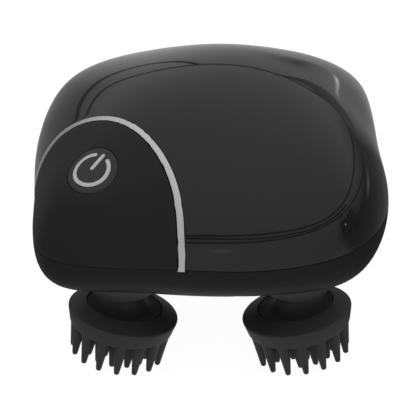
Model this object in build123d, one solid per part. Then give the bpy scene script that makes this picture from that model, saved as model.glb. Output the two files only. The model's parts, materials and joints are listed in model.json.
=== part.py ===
"""Electric scalp massager: a pebble shaped body over four kneading heads.

Millimetres, +Z up. The origin is on the table under the middle of the body, and the
front is towards -Y. The button is on the front left corner.
"""

import os
from math import acos, atan2, cos, degrees, exp, pi, radians, sin, sqrt, tan

from build123d import *

# ---------------------------------------------------------------- body form
BODY_WIDTH = 110.9  # across the flat sides, before the crease is taken off
TOP_HEIGHT = 88.7
EQUATOR_HEIGHT = 48.8  # where the body is widest
UNDERSIDE_HEIGHT = 32.0  # flat underside of the body
BELLY_POLE_DROP = 19.85  # depth below the equator at which the underside curve would close
BELLY_POWER = 2.64  # roundness of the belly, 2 is an ellipse
CROWN_CURVE = 0.512  # how steeply the crown falls away from its top
CROWN_CURVE_DIAGONAL = -0.13  # change of that along the button diagonal
CROWN_SQUARING = 0.853  # how much squarer the plan gets towards the top
BELLY_SQUARING = 0.93  # how far the plan nears a square towards the underside
PLAN_LOBES = 0.009  # four, three small waves of the plan outline
PLAN_DIAGONAL = -0.004
PLAN_WIDENING = 0.006
BUTTON_ANGLE = -135.0  # direction of the button corner
# four values each: front left, front right, rear right and rear left corner
CORNER_SQUARENESS = (0.90, 0.58, 0.985, 0.866)  # 0 is a circle in plan, 1 a square
SHOULDER_POWERS = (1.40, 1.47, 1.98, 2.14)  # how upright the crown leaves the equator
SHOULDER_SWELL = (0.25, -0.26, 0.20, -0.42)  # how full the crown is half way up
SEAM_HEIGHT = 48.8
WALL = 2.2

# ---------------------------------------------------------------- arch on the corners
ARCH_REACH = 44.4  # distance of the arch plane from the middle, at the seam
ARCH_LEAN = 0.335  # how far the plane leans inward for each unit of height
CREASE_DEPTH = 1.3
CREASE_WIDTH = 10.0
TRIM_WIDTH = 1.56
TRIM_PROUD = 0.12
TRIM_GAP = 0.05
LIP_THICKNESS = 1.5
LIP_INWARD = 5.0
LIP_OUTWARD = 2.2
LIP_GAP = 0.1

# ---------------------------------------------------------------- power button
BUTTON_REACH = 49.0  # distance from the middle, along the diagonal
BUTTON_RADIUS = 8.05
BUTTON_GAP = 0.35
BUTTON_PROUD = 0.1
BUTTON_TRAVEL = 0.8
BUTTON_SKIRT = 5.6  # depth of the skirt below the face
BUTTON_FLANGE = 0.9
FLANGE_OVERLAP = 0.9
STEM_RADIUS = 2.0
STEM_LENGTH = 1.9
SWITCH_SIDE = 6.0
SWITCH_HEIGHT = 3.4
PLUNGER_RADIUS = 1.7
PLUNGER_HEIGHT = 1.1
SWITCH_BOARD = (27.0, 13.0, 1.6)
PLUNGER_OVERLAP = 0.8  # length of the plunger inside the switch
SWITCH_POST_OFFSET = 11.6
SWITCH_POST_RADIUS = 1.9
SWITCH_SCREW_LENGTH = 5.6

# ---------------------------------------------------------------- kneading heads
HEAD_TILT = 10.85
HEAD_LEAN_FROM_SIDE = 25.0  # the lower end leans this far off the sideways direction
PIVOT_HEIGHT = 19.78  # where the tilted axis leaves the upright spindle axis
PAD_RIM_RADIUS = 16.8
PAD_RIM_DEPTH = 2.0  # below the pivot, along the tilted axis
PAD_SIDE_HEIGHT = 5.05
PAD_BASE_RADIUS = 15.45
PAD_DISH_RADIUS = 11.93
PAD_DISH_DEPTH = -0.29
PAD_FLOOR = 1.3
PAD_EDGE_ROUND = 0.7
TIP_DEPTH = 17.56
TOOTH_BASE_RADIUS = 1.95
TOOTH_TIP_RADIUS = 0.65
TOOTH_ROOT = 0.4  # length of a tooth inside the cup
TOOTH_RINGS = ((15, 13.5, 270.5), (9, 8.5, 290.0), (4, 3.5, 315.0))  # count, ring, angle
CARRIER_RADIUS = 11.4
CARRIER_TOP = 3.1
CARRIER_HUB_RADIUS = 5.6
HUB_RADIUS = 4.8
HUB_TOP = 3.0
NECK_RADIUS = 3.6
STUB_RADIUS = 3.0
STUB_SHOULDER = 1.0
SPINDLE_RADIUS = 2.5
PART_GAP = 0.05  # between pieces of one moving body
RUNNING_GAP = 0.05  # radial gap of a shaft in its bush

# ---------------------------------------------------------------- gears
PRESSURE_ANGLE = 25.0
ADDENDUM = 0.8
DEDENDUM = 1.0
BACKLASH = 0.3
HEAD_MODULE, TRANSFER_TEETH, HEAD_TEETH = 1.675, 20, 14
MIDDLE_MODULE, REDUCTION_PINION_TEETH, DRIVE_WHEEL_TEETH = 1.2, 9, 30
MOTOR_MODULE, MOTOR_PINION_TEETH, REDUCTION_WHEEL_TEETH = 0.9, 9, 40
REDUCTION_ANGLE = -20.0  # direction of the reduction gear from the drive gear
MOTOR_ANGLE = 90.0  # direction of the motor from the reduction gear
LOW_GEARS = (37.0, 42.0)
MIDDLE_GEARS = (43.0, 47.0)
HIGH_GEARS = (48.0, 51.5)
PLATE = (53.0, 55.5)
AXLE_RADIUS = 1.5
WASHER_RADIUS = 2.6
WASHER_THICKNESS = 0.5

# ---------------------------------------------------------------- collars and bushes
COLLAR_BOTTOM = 26.8
COLLAR_RADIUS = 11.1
COLLAR_TAPER = 0.7
COLLAR_FLANGE = (35.2, 36.2, 12.9)  # bottom, top, radius
COLLAR_BOSS_RADIUS = 14.0
COLLAR_TAPER_HEIGHT = 4.2
COLLAR_LIP = 1.5
COLLAR_FLOOR = 2.1
COLLAR_WALL = 1.6
BUSH_RADIUS = 4.0
UPPER_BUSH_RADIUS = 3.7
BUSH_RIM = (4.8, 0.6)  # radius and height
SEAL_HEIGHT = 1.8
SEAL_BEVEL = 0.7

# ---------------------------------------------------------------- fixings
HOUSING_SCREW_RING = 48.0
HOUSING_SCREW_ANGLES = (-80.0, 8.0, 72.0, 108.0, 172.0)
SCREW_BOSS_RADIUS = 3.8
SCREW_SHANK_RADIUS = 1.25
SCREW_HEAD_RADIUS = 2.4
SCREW_HEAD_HEIGHT = 1.6
PLATE_POSTS = ((0.0, -30.0), (40.0, 0.0), (0.0, 30.0), (-40.0, 0.0))
PLATE_RADIUS = 43.5
POST_RADIUS = 3.0

# ---------------------------------------------------------------- motor and electrics
MOTOR_RADIUS = 10.0
MOTOR_HEIGHT = 21.0
MOTOR_SHAFT_RADIUS = 1.0
MOTOR_NOSE_RADIUS = 3.0
BRACKET_WALL = 1.5
BRACKET_HEIGHT = 9.0
BRACKET_EAR = 15.0  # distance of its screws from the motor axis
BRACKET_TURN = 70.0
CELL_RADIUS = 9.0
CELL_LENGTH = 50.0
CELL_CENTRE = (-20.5, 9.0)
CRADLE_FLOOR = 1.2
CRADLE_RIB = 3.0
BOARD = (18.0, 40.0, 1.6)
BOARD_CENTRE = (33.5, -1.0)
BOARD_LIFT = 3.0
CHARGE_BOARD = (20.0, 10.0, 1.2)
CHARGE_BOARD_HEIGHT = 39.6
CHARGE_BOARD_REAR = 48.2
CHARGE_POST_SPREAD = 7.2
CHARGE_POST_INSET = 2.4
CHARGE_POST_RADIUS = 1.9
SOCKET = (9.0, 7.4, 3.3)
SOCKET_WALL = 0.4
SOCKET_BACK = 1.2
TONGUE = (6.0, 0.7)

# ---------------------------------------------------------------- small fits
SMALL_SCREW_RADIUS = 1.0
SMALL_HEAD_RADIUS = 1.9
SMALL_HEAD_HEIGHT = 0.7
GEAR_FACE_GAP = 0.3
RELIEF_GAP = 0.8
NECK_GAP = 0.4
CARRIER_WEB = 1.2
STUB_SCREW_BITE = 4.0
AXLE_FOOT = 33.2
AXLE_BOSS_RADIUS = 3.6
HOUSING_SCREW_SEAT = 41.0
HOUSING_SCREW_BITE = 7.0
PLATE_SCREW_BITE = 7.0
GASKET_INSET = 0.7
GASKET_WIDTH = 0.8
GASKET_HEIGHT = 1.0
SOCKET_RECESS = 0.8
SOCKET_GAP = 0.5

SECTION_POINTS = 32
CORNER_CROWDING = 5.7  # degrees by which section points move towards the corners
BELLY_SECTIONS = 6
CROWN_SECTIONS = 12
PROFILE_STEPS = 400

NODES = {}


# ---------------------------------------------------------------- body surface
def at_corners(values, angle):
    """Smooth blend of the four corner values in this direction."""
    first, second, third, fourth = values
    turn = radians(angle - BUTTON_ANGLE)
    blend = (first + second + third + fourth) / 4
    blend += (first - third) / 2 * cos(turn) + (second - fourth) / 2 * sin(turn)
    return blend + (first - second + third - fourth) / 4 * cos(2.0 * turn)


def crown_share(angle, level):
    """Squared reach of the crown at this level: 1 at the equator, 0 at the top."""
    power = at_corners(SHOULDER_POWERS, angle)
    swell = at_corners(SHOULDER_SWELL, angle)
    along = cos(2.0 * radians(angle - BUTTON_ANGLE))
    slope = power * (CROWN_CURVE + CROWN_CURVE_DIAGONAL * along)
    goal = 1.0 - level**power
    share = goal
    for _ in range(8):
        value = slope * share + (1.0 - slope + swell) * share**2 - swell * share**3
        steepness = slope + 2.0 * (1.0 - slope + swell) * share - 3.0 * swell * share**2
        share += (goal - value) / steepness
    return max(0.0, share)


def squared_circle(turn, square):
    """Reach of an outline that is a circle at square 0 and a square at 1."""
    return sqrt(2.0 / (1.0 + sqrt(1.0 - square * sin(2.0 * turn) ** 2)))


def body_radius(angle, height, inset=0.0):
    """Distance of the body surface from the Z axis."""
    turn = radians(angle)
    square = at_corners(CORNER_SQUARENESS, angle)
    if height > EQUATOR_HEIGHT:
        rise = TOP_HEIGHT - EQUATOR_HEIGHT - inset
        share = crown_share(angle, min(1.0, (height - EQUATOR_HEIGHT) / rise))
        reach = sqrt(share)
        square *= share * (1.0 + CROWN_SQUARING * (1.0 - share))
    else:
        level = min(1.0, (EQUATOR_HEIGHT - height) / (BELLY_POLE_DROP - inset))
        share = 1.0
        reach = (1.0 - level**BELLY_POWER) ** (1.0 / BELLY_POWER)
        square = 1.0 - (1.0 - square) * (1.0 - BELLY_SQUARING * level)
    wave = PLAN_LOBES * cos(4.0 * turn) + PLAN_WIDENING * cos(2.0 * turn)
    wave += PLAN_DIAGONAL * cos(2.0 * radians(angle - BUTTON_ANGLE))
    radius = (BODY_WIDTH / 2 - inset) * reach * squared_circle(turn, square) * (1.0 + share * wave)
    across = abs(cos(turn) + sin(turn)) * radius / sqrt(2.0)
    from_arch = across - arch_reach(height)
    return radius - CREASE_DEPTH * exp(-((from_arch / CREASE_WIDTH) ** 2))


def arch_reach(height):
    """Distance of the arch plane from the Z axis, along the diagonal."""
    return ARCH_REACH - ARCH_LEAN * (height - SEAM_HEIGHT)


def body_section(height, inset=0.0):
    points = []
    for index in range(SECTION_POINTS):
        angle = 360.0 * index / SECTION_POINTS
        angle += CORNER_CROWDING * sin(radians(4.0 * angle))
        radius = body_radius(angle, height, inset)
        points.append((radius * cos(radians(angle)), radius * sin(radians(angle)), height))
    return make_face(Spline(*points, periodic=True))


def even_heights(start, end, count, inset):
    """Heights that divide the side profile between start and end into equal lengths."""
    heights = [start + (end - start) * sin(pi / 2 * i / PROFILE_STEPS) for i in range(PROFILE_STEPS + 1)]
    lengths = [0.0]
    for low, high in zip(heights, heights[1:]):
        run = body_radius(0.0, high, inset) - body_radius(0.0, low, inset)
        lengths.append(lengths[-1] + sqrt(run**2 + (high - low) ** 2))
    goals = [lengths[-1] * i / count for i in range(count + 1)]
    return [min(zip(lengths, heights), key=lambda pair: abs(pair[0] - goal))[1] for goal in goals]


def pebble(inset=0.0):
    """The whole body form, its skin moved inward by inset."""
    belly = even_heights(EQUATOR_HEIGHT, UNDERSIDE_HEIGHT + inset, BELLY_SECTIONS, inset)
    crown = even_heights(EQUATOR_HEIGHT, TOP_HEIGHT - inset, CROWN_SECTIONS, inset)
    heights = belly[:0:-1] + crown[:-1]
    sections = [body_section(height, inset) for height in heights]
    return loft(sections + [Vertex(0, 0, TOP_HEIGHT - inset)])


# ---------------------------------------------------------------- helpers
def disc(radius, low, high, x=0.0, y=0.0):
    return Pos(x, y, low) * Cylinder(radius, high - low, align=(Align.CENTER, Align.CENTER, Align.MIN))


def ring(outer, inner, low, high, x=0.0, y=0.0):
    return disc(outer, low, high, x, y) - disc(inner, low - 1.0, high + 1.0, x, y)


def slab(length, width, low, high, x=0.0, y=0.0):
    return Pos(x, y, (low + high) / 2) * Box(length, width, high - low)


def turned(points):
    """Solid of revolution from (radius, height) points."""
    outline = make_face(Polyline(*[(r, 0.0, z) for r, z in points], close=True))
    return revolve(outline, Axis.Z, 360.0)


def screw(length, low, x=0.0, y=0.0, shank=SCREW_SHANK_RADIUS, head=SCREW_HEAD_RADIUS):
    """A pan head screw with its head at the bottom, standing on height low."""
    return disc(head, low, low + SCREW_HEAD_HEIGHT, x, y) + disc(
        shank, low + SCREW_HEAD_HEIGHT, low + SCREW_HEAD_HEIGHT + length, x, y
    )


def screw_down(length, seat, x=0.0, y=0.0, shank=SCREW_SHANK_RADIUS, head=SCREW_HEAD_RADIUS):
    """A pan head screw driven from above; its head rests on height seat."""
    return disc(head, seat, seat + SCREW_HEAD_HEIGHT, x, y) + disc(shank, seat - length, seat, x, y)


def polar(distance, angle):
    return distance * cos(radians(angle)), distance * sin(radians(angle))


def group(shapes):
    return Compound(children=list(shapes))


# ---------------------------------------------------------------- levels that follow
SWITCH_TOP = -(BUTTON_SKIRT + STEM_LENGTH + PART_GAP + PLUNGER_HEIGHT)
SWITCH_BOARD_TOP = SWITCH_TOP - SWITCH_HEIGHT
CHARGE_TOP = CHARGE_BOARD_HEIGHT + CHARGE_BOARD[2]
SOCKET_LEVEL = CHARGE_TOP + PART_GAP + SOCKET[2] / 2
CHARGE_POSTS = [
    (side * CHARGE_POST_SPREAD, CHARGE_BOARD_REAR - CHARGE_BOARD[1] + CHARGE_POST_INSET)
    for side in (-1, 1)
]

# ---------------------------------------------------------------- gear train layout
TRANSFER_X = HEAD_MODULE * TRANSFER_TEETH / 2
HEAD_MESH = HEAD_MODULE * (TRANSFER_TEETH + HEAD_TEETH) / 2
HEAD_OFFSET = TRANSFER_X / 2 + sqrt(HEAD_MESH**2 / 2 - TRANSFER_X**2 / 4)
MIDDLE_MESH = MIDDLE_MODULE * (REDUCTION_PINION_TEETH + DRIVE_WHEEL_TEETH) / 2
MOTOR_MESH = MOTOR_MODULE * (MOTOR_PINION_TEETH + REDUCTION_WHEEL_TEETH) / 2
DRIVE_AXIS = (-TRANSFER_X, 0.0)
TRANSFER_AXIS = (TRANSFER_X, 0.0)
REDUCTION_AXIS = (
    DRIVE_AXIS[0] + MIDDLE_MESH * cos(radians(REDUCTION_ANGLE)),
    DRIVE_AXIS[1] + MIDDLE_MESH * sin(radians(REDUCTION_ANGLE)),
)
MOTOR_AXIS = (
    REDUCTION_AXIS[0] + MOTOR_MESH * cos(radians(MOTOR_ANGLE)),
    REDUCTION_AXIS[1] + MOTOR_MESH * sin(radians(MOTOR_ANGLE)),
)
HEADS = {"fl": (-1, -1), "fr": (1, -1), "rr": (1, 1), "rl": (-1, 1)}
HEAD_AXES = {key: (sx * HEAD_OFFSET, sy * HEAD_OFFSET) for key, (sx, sy) in HEADS.items()}


def involute(angle):
    return tan(angle) - angle


def half_tooth(module, teeth, radius):
    """Half the angle that a tooth takes at this radius."""
    pitch = module * teeth / 2
    base = pitch * cos(radians(PRESSURE_ANGLE))
    flank = acos(min(1.0, base / max(radius, base)))
    thickness = pi * module / 2 - BACKLASH / 2
    return thickness / (2 * pitch) + involute(radians(PRESSURE_ANGLE)) - involute(flank)


def gear_blank(module, teeth, low, high, phase):
    """Spur gear teeth on a solid blank; one tooth is centred on the angle phase."""
    pitch = module * teeth / 2
    tip = pitch + ADDENDUM * module
    root = pitch - DEDENDUM * module
    start = max(root, pitch * cos(radians(PRESSURE_ANGLE)))
    levels = [root, start, (start + tip) / 2, tip] if start > root + 0.05 else [root, pitch, tip]
    side = [(radius, half_tooth(module, teeth, radius)) for radius in levels]
    points = []
    for tooth in range(teeth):
        middle = radians(phase + 360.0 * tooth / teeth)
        for radius, half in side:
            points.append((radius * cos(middle - half), radius * sin(middle - half), low))
        for radius, half in reversed(side):
            points.append((radius * cos(middle + half), radius * sin(middle + half), low))
    return extrude(make_face(Polyline(*points, close=True)), high - low, dir=(0, 0, 1))


def line_angle(first, second):
    return degrees(atan2(second[1] - first[1], second[0] - first[0]))


def mesh_phase(line, phase, teeth, other_teeth):
    """Phase of the gear that meshes with a gear of this phase, along this line."""
    return line + 180.0 - (phase - line) * teeth / other_teeth + 180.0 / other_teeth


# ---------------------------------------------------------------- frames
def turned_about(vector, axis, angle):
    """The vector turned about a unit axis."""
    turn = radians(angle)
    cross = (
        axis[1] * vector[2] - axis[2] * vector[1],
        axis[2] * vector[0] - axis[0] * vector[2],
        axis[0] * vector[1] - axis[1] * vector[0],
    )
    dot = sum(a * v for a, v in zip(axis, vector))
    return tuple(
        v * cos(turn) + c * sin(turn) + a * dot * (1.0 - cos(turn))
        for v, c, a in zip(vector, cross, axis)
    )


def head_plane(key):
    """Frame on the tilted axis of a head; its z points up the axis, from the pivot."""
    sx, sy = HEADS[key]
    x, y = HEAD_AXES[key]
    lean = radians(HEAD_LEAN_FROM_SIDE)
    out = (sx * cos(lean), sy * sin(lean))
    axis = (-out[1], out[0], 0.0)
    return Plane(
        origin=(x, y, PIVOT_HEIGHT),
        x_dir=turned_about((1.0, 0.0, 0.0), axis, -HEAD_TILT),
        z_dir=turned_about((0.0, 0.0, 1.0), axis, -HEAD_TILT),
    )


def tooth_angle(key, angle):
    """An angle on the front left head, mirrored to this head."""
    sx, sy = HEADS[key]
    mirrored = angle if sx < 0 else 180.0 - angle
    return mirrored if sy < 0 else -mirrored


def button_plane():
    """Frame on the body surface under the button; its z is the surface normal."""
    low, high = EQUATOR_HEIGHT, TOP_HEIGHT
    for _ in range(40):
        middle = (low + high) / 2
        if body_radius(BUTTON_ANGLE, middle) > BUTTON_REACH:
            low = middle
        else:
            high = middle
    step = 0.5
    above = body_radius(BUTTON_ANGLE, low + step)
    below = body_radius(BUTTON_ANGLE, low - step)
    slope = (above - below) / (2 * step)
    out = polar(1.0, BUTTON_ANGLE)
    return Plane(
        origin=(BUTTON_REACH * out[0], BUTTON_REACH * out[1], low),
        x_dir=(-out[1], out[0], 0.0),
        z_dir=(out[0], out[1], -slope),
    )


def arch_block(near, far):
    """Everything between two planes parallel to the arch plane, on the button side."""
    out = polar(1.0, BUTTON_ANGLE)
    plane = Plane(
        origin=(ARCH_REACH * out[0], ARCH_REACH * out[1], SEAM_HEIGHT),
        z_dir=(out[0], out[1], ARCH_LEAN),
    )
    size = 3 * BODY_WIDTH
    return plane * (Pos(0, 0, (near + far) / 2) * Box(size, size, far - near))


# ---------------------------------------------------------------- casings
def above(height):
    return slab(2 * BODY_WIDTH, 2 * BODY_WIDTH, height, 2 * TOP_HEIGHT)


def below(height):
    return slab(2 * BODY_WIDTH, 2 * BODY_WIDTH, 0.0, height)


def screw_points():
    return [polar(HOUSING_SCREW_RING, angle) for angle in HOUSING_SCREW_ANGLES]


def make_casings():
    outer = pebble()
    inner = pebble(WALL)
    crown = outer & above(SEAM_HEIGHT)
    bowl = outer & below(SEAM_HEIGHT)
    lip_level = pebble(WALL + LIP_GAP)
    deep = pebble(WALL + LIP_GAP + LIP_THICKNESS)
    edge = TRIM_WIDTH / 2
    screw_pilot = SCREW_SHANK_RADIUS + PART_GAP

    cavity = (inner - arch_block(-LIP_INWARD, LIP_OUTWARD)) + deep
    panel_zone = arch_block(-edge - TRIM_GAP, BODY_WIDTH)
    cover = crown - cavity - (panel_zone - lip_level)
    bosses = [disc(SCREW_BOSS_RADIUS, SEAM_HEIGHT, TOP_HEIGHT, x, y) for x, y in screw_points()]
    for boss in bosses:
        cover = cover + (boss & crown)
    for x, y in screw_points():
        cover = cover - disc(screw_pilot, 0.0, SEAM_HEIGHT + HOUSING_SCREW_BITE + 1.0, x, y)
    NODES["top_cover"] = cover

    panel = (crown - inner) & arch_block(edge + TRIM_GAP, BODY_WIDTH)
    frame = button_plane()
    core = pebble(WALL / 2)
    small_pilot = SMALL_SCREW_RADIUS + PART_GAP
    for side in (-1, 1):
        x = side * SWITCH_POST_OFFSET
        panel = panel + (frame * disc(SWITCH_POST_RADIUS, SWITCH_BOARD_TOP, 0.0, x) & core)
        panel = panel - frame * disc(small_pilot, SWITCH_BOARD_TOP - 1.0, -2 * WALL, x)
    panel = panel - frame * disc(BUTTON_RADIUS + BUTTON_GAP, -BUTTON_SKIRT, BUTTON_SKIRT)
    NODES["corner_panel"] = panel

    proud = pebble(-TRIM_PROUD)
    NODES["trim_strip"] = ((proud & above(SEAM_HEIGHT + TRIM_GAP)) - inner) & arch_block(-edge, edge)

    gasket_out = body_section(SEAM_HEIGHT, GASKET_INSET)
    gasket_in = body_section(SEAM_HEIGHT, GASKET_INSET + GASKET_WIDTH)
    band = extrude(gasket_out - gasket_in, GASKET_HEIGHT, dir=(0, 0, -1))
    NODES["housing_gasket"] = band

    housing = bowl - inner
    adds = [disc(SCREW_BOSS_RADIUS, UNDERSIDE_HEIGHT, SEAM_HEIGHT, x, y) for x, y in screw_points()]
    adds += [disc(POST_RADIUS, UNDERSIDE_HEIGHT, PLATE[0], x, y) for x, y in PLATE_POSTS]
    flange_level = COLLAR_FLANGE[0]
    for axis in HEAD_AXES.values():
        adds.append(disc(COLLAR_BOSS_RADIUS, UNDERSIDE_HEIGHT, flange_level, *axis))
    axle_level = LOW_GEARS[0] - GEAR_FACE_GAP
    for axis in (DRIVE_AXIS, TRANSFER_AXIS):
        adds.append(disc(AXLE_BOSS_RADIUS, UNDERSIDE_HEIGHT, axle_level, *axis))
    for x, y in CHARGE_POSTS:
        adds.append(disc(CHARGE_POST_RADIUS, UNDERSIDE_HEIGHT, CHARGE_BOARD_HEIGHT, x, y))
    reach = outer & below(PLATE[0])
    for add in adds:
        housing = housing + (add & reach)
    relief = HEAD_MODULE * (HEAD_TEETH / 2 + ADDENDUM) + RELIEF_GAP
    for x, y in HEAD_AXES.values():
        housing = housing - disc(COLLAR_RADIUS + PART_GAP, 0.0, SEAM_HEIGHT, x, y)
        housing = housing - disc(relief, COLLAR_FLANGE[0], LOW_GEARS[1] + GEAR_FACE_GAP, x, y)
    for x, y in PLATE_POSTS:
        housing = housing - disc(screw_pilot, PLATE[0] - PLATE_SCREW_BITE - 1.0, PLATE[0] + 1.0, x, y)
    for x, y in screw_points():
        housing = housing - disc(screw_pilot, 0.0, SEAM_HEIGHT + 1.0, x, y)
        housing = housing - disc(SCREW_HEAD_RADIUS + 0.2, 0.0, HOUSING_SCREW_SEAT, x, y)
    for axis in (DRIVE_AXIS, TRANSFER_AXIS):
        housing = housing - disc(AXLE_RADIUS, AXLE_FOOT, LOW_GEARS[0] + 1.0, *axis)
    for x, y in CHARGE_POSTS:
        housing = housing - disc(small_pilot, CHARGE_BOARD_HEIGHT - 4.0, SEAM_HEIGHT, x, y)
    mouth = RectangleRounded(SOCKET[0] + SOCKET_GAP, SOCKET[2] + SOCKET_GAP, SOCKET[2] / 2)
    mouth_frame = Plane((0, CHARGE_BOARD_REAR - SOCKET[1], SOCKET_LEVEL), x_dir=(1, 0, 0), z_dir=(0, 1, 0))
    housing = housing - extrude(mouth_frame * mouth, BODY_WIDTH)
    groove = extrude(
        body_section(SEAM_HEIGHT, GASKET_INSET - PART_GAP)
        - body_section(SEAM_HEIGHT, GASKET_INSET + GASKET_WIDTH + PART_GAP),
        GASKET_HEIGHT + PART_GAP, dir=(0, 0, -1),
    )
    housing = housing - groove
    NODES["lower_housing"] = housing

    heads = []
    for x, y in screw_points():
        length = SEAM_HEIGHT + HOUSING_SCREW_BITE - HOUSING_SCREW_SEAT
        heads.append(screw(length, HOUSING_SCREW_SEAT - SCREW_HEAD_HEIGHT, x, y))
    NODES["housing_screws"] = group(heads)


# ---------------------------------------------------------------- heads
def make_pad():
    """Silicone cup with teeth, in the frame of its head."""
    base = -(PAD_RIM_DEPTH + PAD_SIDE_HEIGHT)
    bore = CARRIER_RADIUS + PART_GAP
    profile = Polyline(
        (0.0, base), (PAD_BASE_RADIUS, base), (PAD_RIM_RADIUS, -PAD_RIM_DEPTH),
        (PAD_DISH_RADIUS, -PAD_DISH_DEPTH), (bore, -PAD_DISH_DEPTH),
        (bore, base + PAD_FLOOR), (0.0, base + PAD_FLOOR), close=True,
    )
    face = make_face(profile)
    rims = [vertex for vertex in face.vertices() if vertex.X > PAD_BASE_RADIUS - PAD_EDGE_ROUND]
    face = fillet(rims, PAD_EDGE_ROUND)
    pad = revolve(Plane.XZ * face, Axis.Z, 360.0)
    tooth = turned([
        (0.0, base + TOOTH_ROOT), (TOOTH_BASE_RADIUS, base + TOOTH_ROOT),
        (TOOTH_TIP_RADIUS, TOOTH_TIP_RADIUS * 0.5 - TIP_DEPTH),
        (TOOTH_TIP_RADIUS * 0.5, -TIP_DEPTH), (0.0, -TIP_DEPTH),
    ])
    teeth = []
    for count, radius, first in TOOTH_RINGS:
        for index in range(count):
            x, y = polar(radius, first - TOOTH_RINGS[0][2] + 360.0 * index / count)
            teeth.append(Pos(x, y, 0) * tooth)
    return pad.fuse(*teeth)


def make_carrier():
    floor = -(PAD_RIM_DEPTH + PAD_SIDE_HEIGHT) + PAD_FLOOR + PART_GAP
    bore = STUB_RADIUS + PART_GAP
    recess = floor + SMALL_HEAD_HEIGHT
    body = turned([
        (SMALL_SCREW_RADIUS + PART_GAP, recess), (SMALL_HEAD_RADIUS + PART_GAP, recess),
        (SMALL_HEAD_RADIUS + PART_GAP, floor), (CARRIER_RADIUS, floor),
        (CARRIER_RADIUS, -CARRIER_TOP), (CARRIER_HUB_RADIUS, -CARRIER_TOP),
        (CARRIER_HUB_RADIUS - 0.4, -STUB_SHOULDER - PART_GAP), (bore, -STUB_SHOULDER - PART_GAP),
        (bore, recess + CARRIER_WEB), (SMALL_SCREW_RADIUS + PART_GAP, recess + CARRIER_WEB),
    ])
    return body, recess


def make_heads():
    pad = make_pad()
    carrier, recess = make_carrier()
    stub_end = recess + CARRIER_WEB + PART_GAP
    screw_length = STUB_SCREW_BITE + stub_end - recess
    stub = disc(STUB_RADIUS, stub_end, 0.0) + disc(HUB_RADIUS, -STUB_SHOULDER, HUB_TOP)
    pilot = disc(SMALL_SCREW_RADIUS + PART_GAP, stub_end - 1.0, recess + screw_length + 0.5)
    pin = disc(SMALL_SCREW_RADIUS, recess, recess + screw_length)
    pin = pin + disc(SMALL_HEAD_RADIUS, recess - SMALL_HEAD_HEIGHT + PART_GAP, recess)
    for key, (x, y) in HEAD_AXES.items():
        frame = head_plane(key)
        shaft = disc(SPINDLE_RADIUS, PIVOT_HEIGHT, PLATE[1] - 0.5, x, y)
        neck = disc(NECK_RADIUS, PIVOT_HEIGHT + HUB_TOP / 3, COLLAR_BOTTOM - NECK_GAP, x, y)
        NODES["spindle_" + key] = (shaft + neck + frame * stub) - frame * pilot
        NODES["pad_carrier_" + key] = frame * carrier
        turn = Rot(0, 0, tooth_angle(key, TOOTH_RINGS[0][2]))
        NODES["silicone_pad_" + key] = frame * (turn * pad)
        NODES["carrier_screw_" + key] = frame * pin


def make_collars():
    bottom, top, flange = COLLAR_FLANGE
    seal_top = COLLAR_BOTTOM + COLLAR_LIP + SEAL_HEIGHT
    lip = COLLAR_BOTTOM + COLLAR_LIP
    floor = lip + COLLAR_FLOOR - COLLAR_LIP
    bore, wall, tube = BUSH_RADIUS + PART_GAP, COLLAR_RADIUS - COLLAR_WALL, BUSH_RADIUS + COLLAR_WALL
    collar = turned([
        (SPINDLE_RADIUS + NECK_GAP, COLLAR_BOTTOM), (COLLAR_RADIUS - COLLAR_TAPER, COLLAR_BOTTOM),
        (COLLAR_RADIUS, COLLAR_BOTTOM + COLLAR_TAPER_HEIGHT), (COLLAR_RADIUS, bottom),
        (flange, bottom), (flange, top), (wall, top), (wall, floor), (tube, floor), (tube, top),
        (bore, top), (bore, lip), (SPINDLE_RADIUS + NECK_GAP, lip),
    ])
    seal = turned([
        (SPINDLE_RADIUS + RUNNING_GAP, lip + PART_GAP), (BUSH_RADIUS, lip + PART_GAP),
        (BUSH_RADIUS, seal_top), (SPINDLE_RADIUS + SEAL_BEVEL, seal_top),
        (SPINDLE_RADIUS + RUNNING_GAP, seal_top - SEAL_BEVEL),
    ])
    bush = ring(BUSH_RADIUS, SPINDLE_RADIUS + RUNNING_GAP, seal_top + PART_GAP, top)
    upper = ring(UPPER_BUSH_RADIUS, SPINDLE_RADIUS + RUNNING_GAP, PLATE[0] - BUSH_RIM[1], PLATE[1])
    upper = upper + ring(BUSH_RIM[0], SPINDLE_RADIUS + RUNNING_GAP, PLATE[0] - BUSH_RIM[1], PLATE[0])
    places = [Pos(x, y, 0) for x, y in HEAD_AXES.values()]
    NODES["spindle_collars"] = group([place * collar for place in places])
    NODES["shaft_seals"] = group([place * seal for place in places])
    NODES["lower_bushes"] = group([place * bush for place in places])
    NODES["upper_bushes"] = group([place * upper for place in places])


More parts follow.
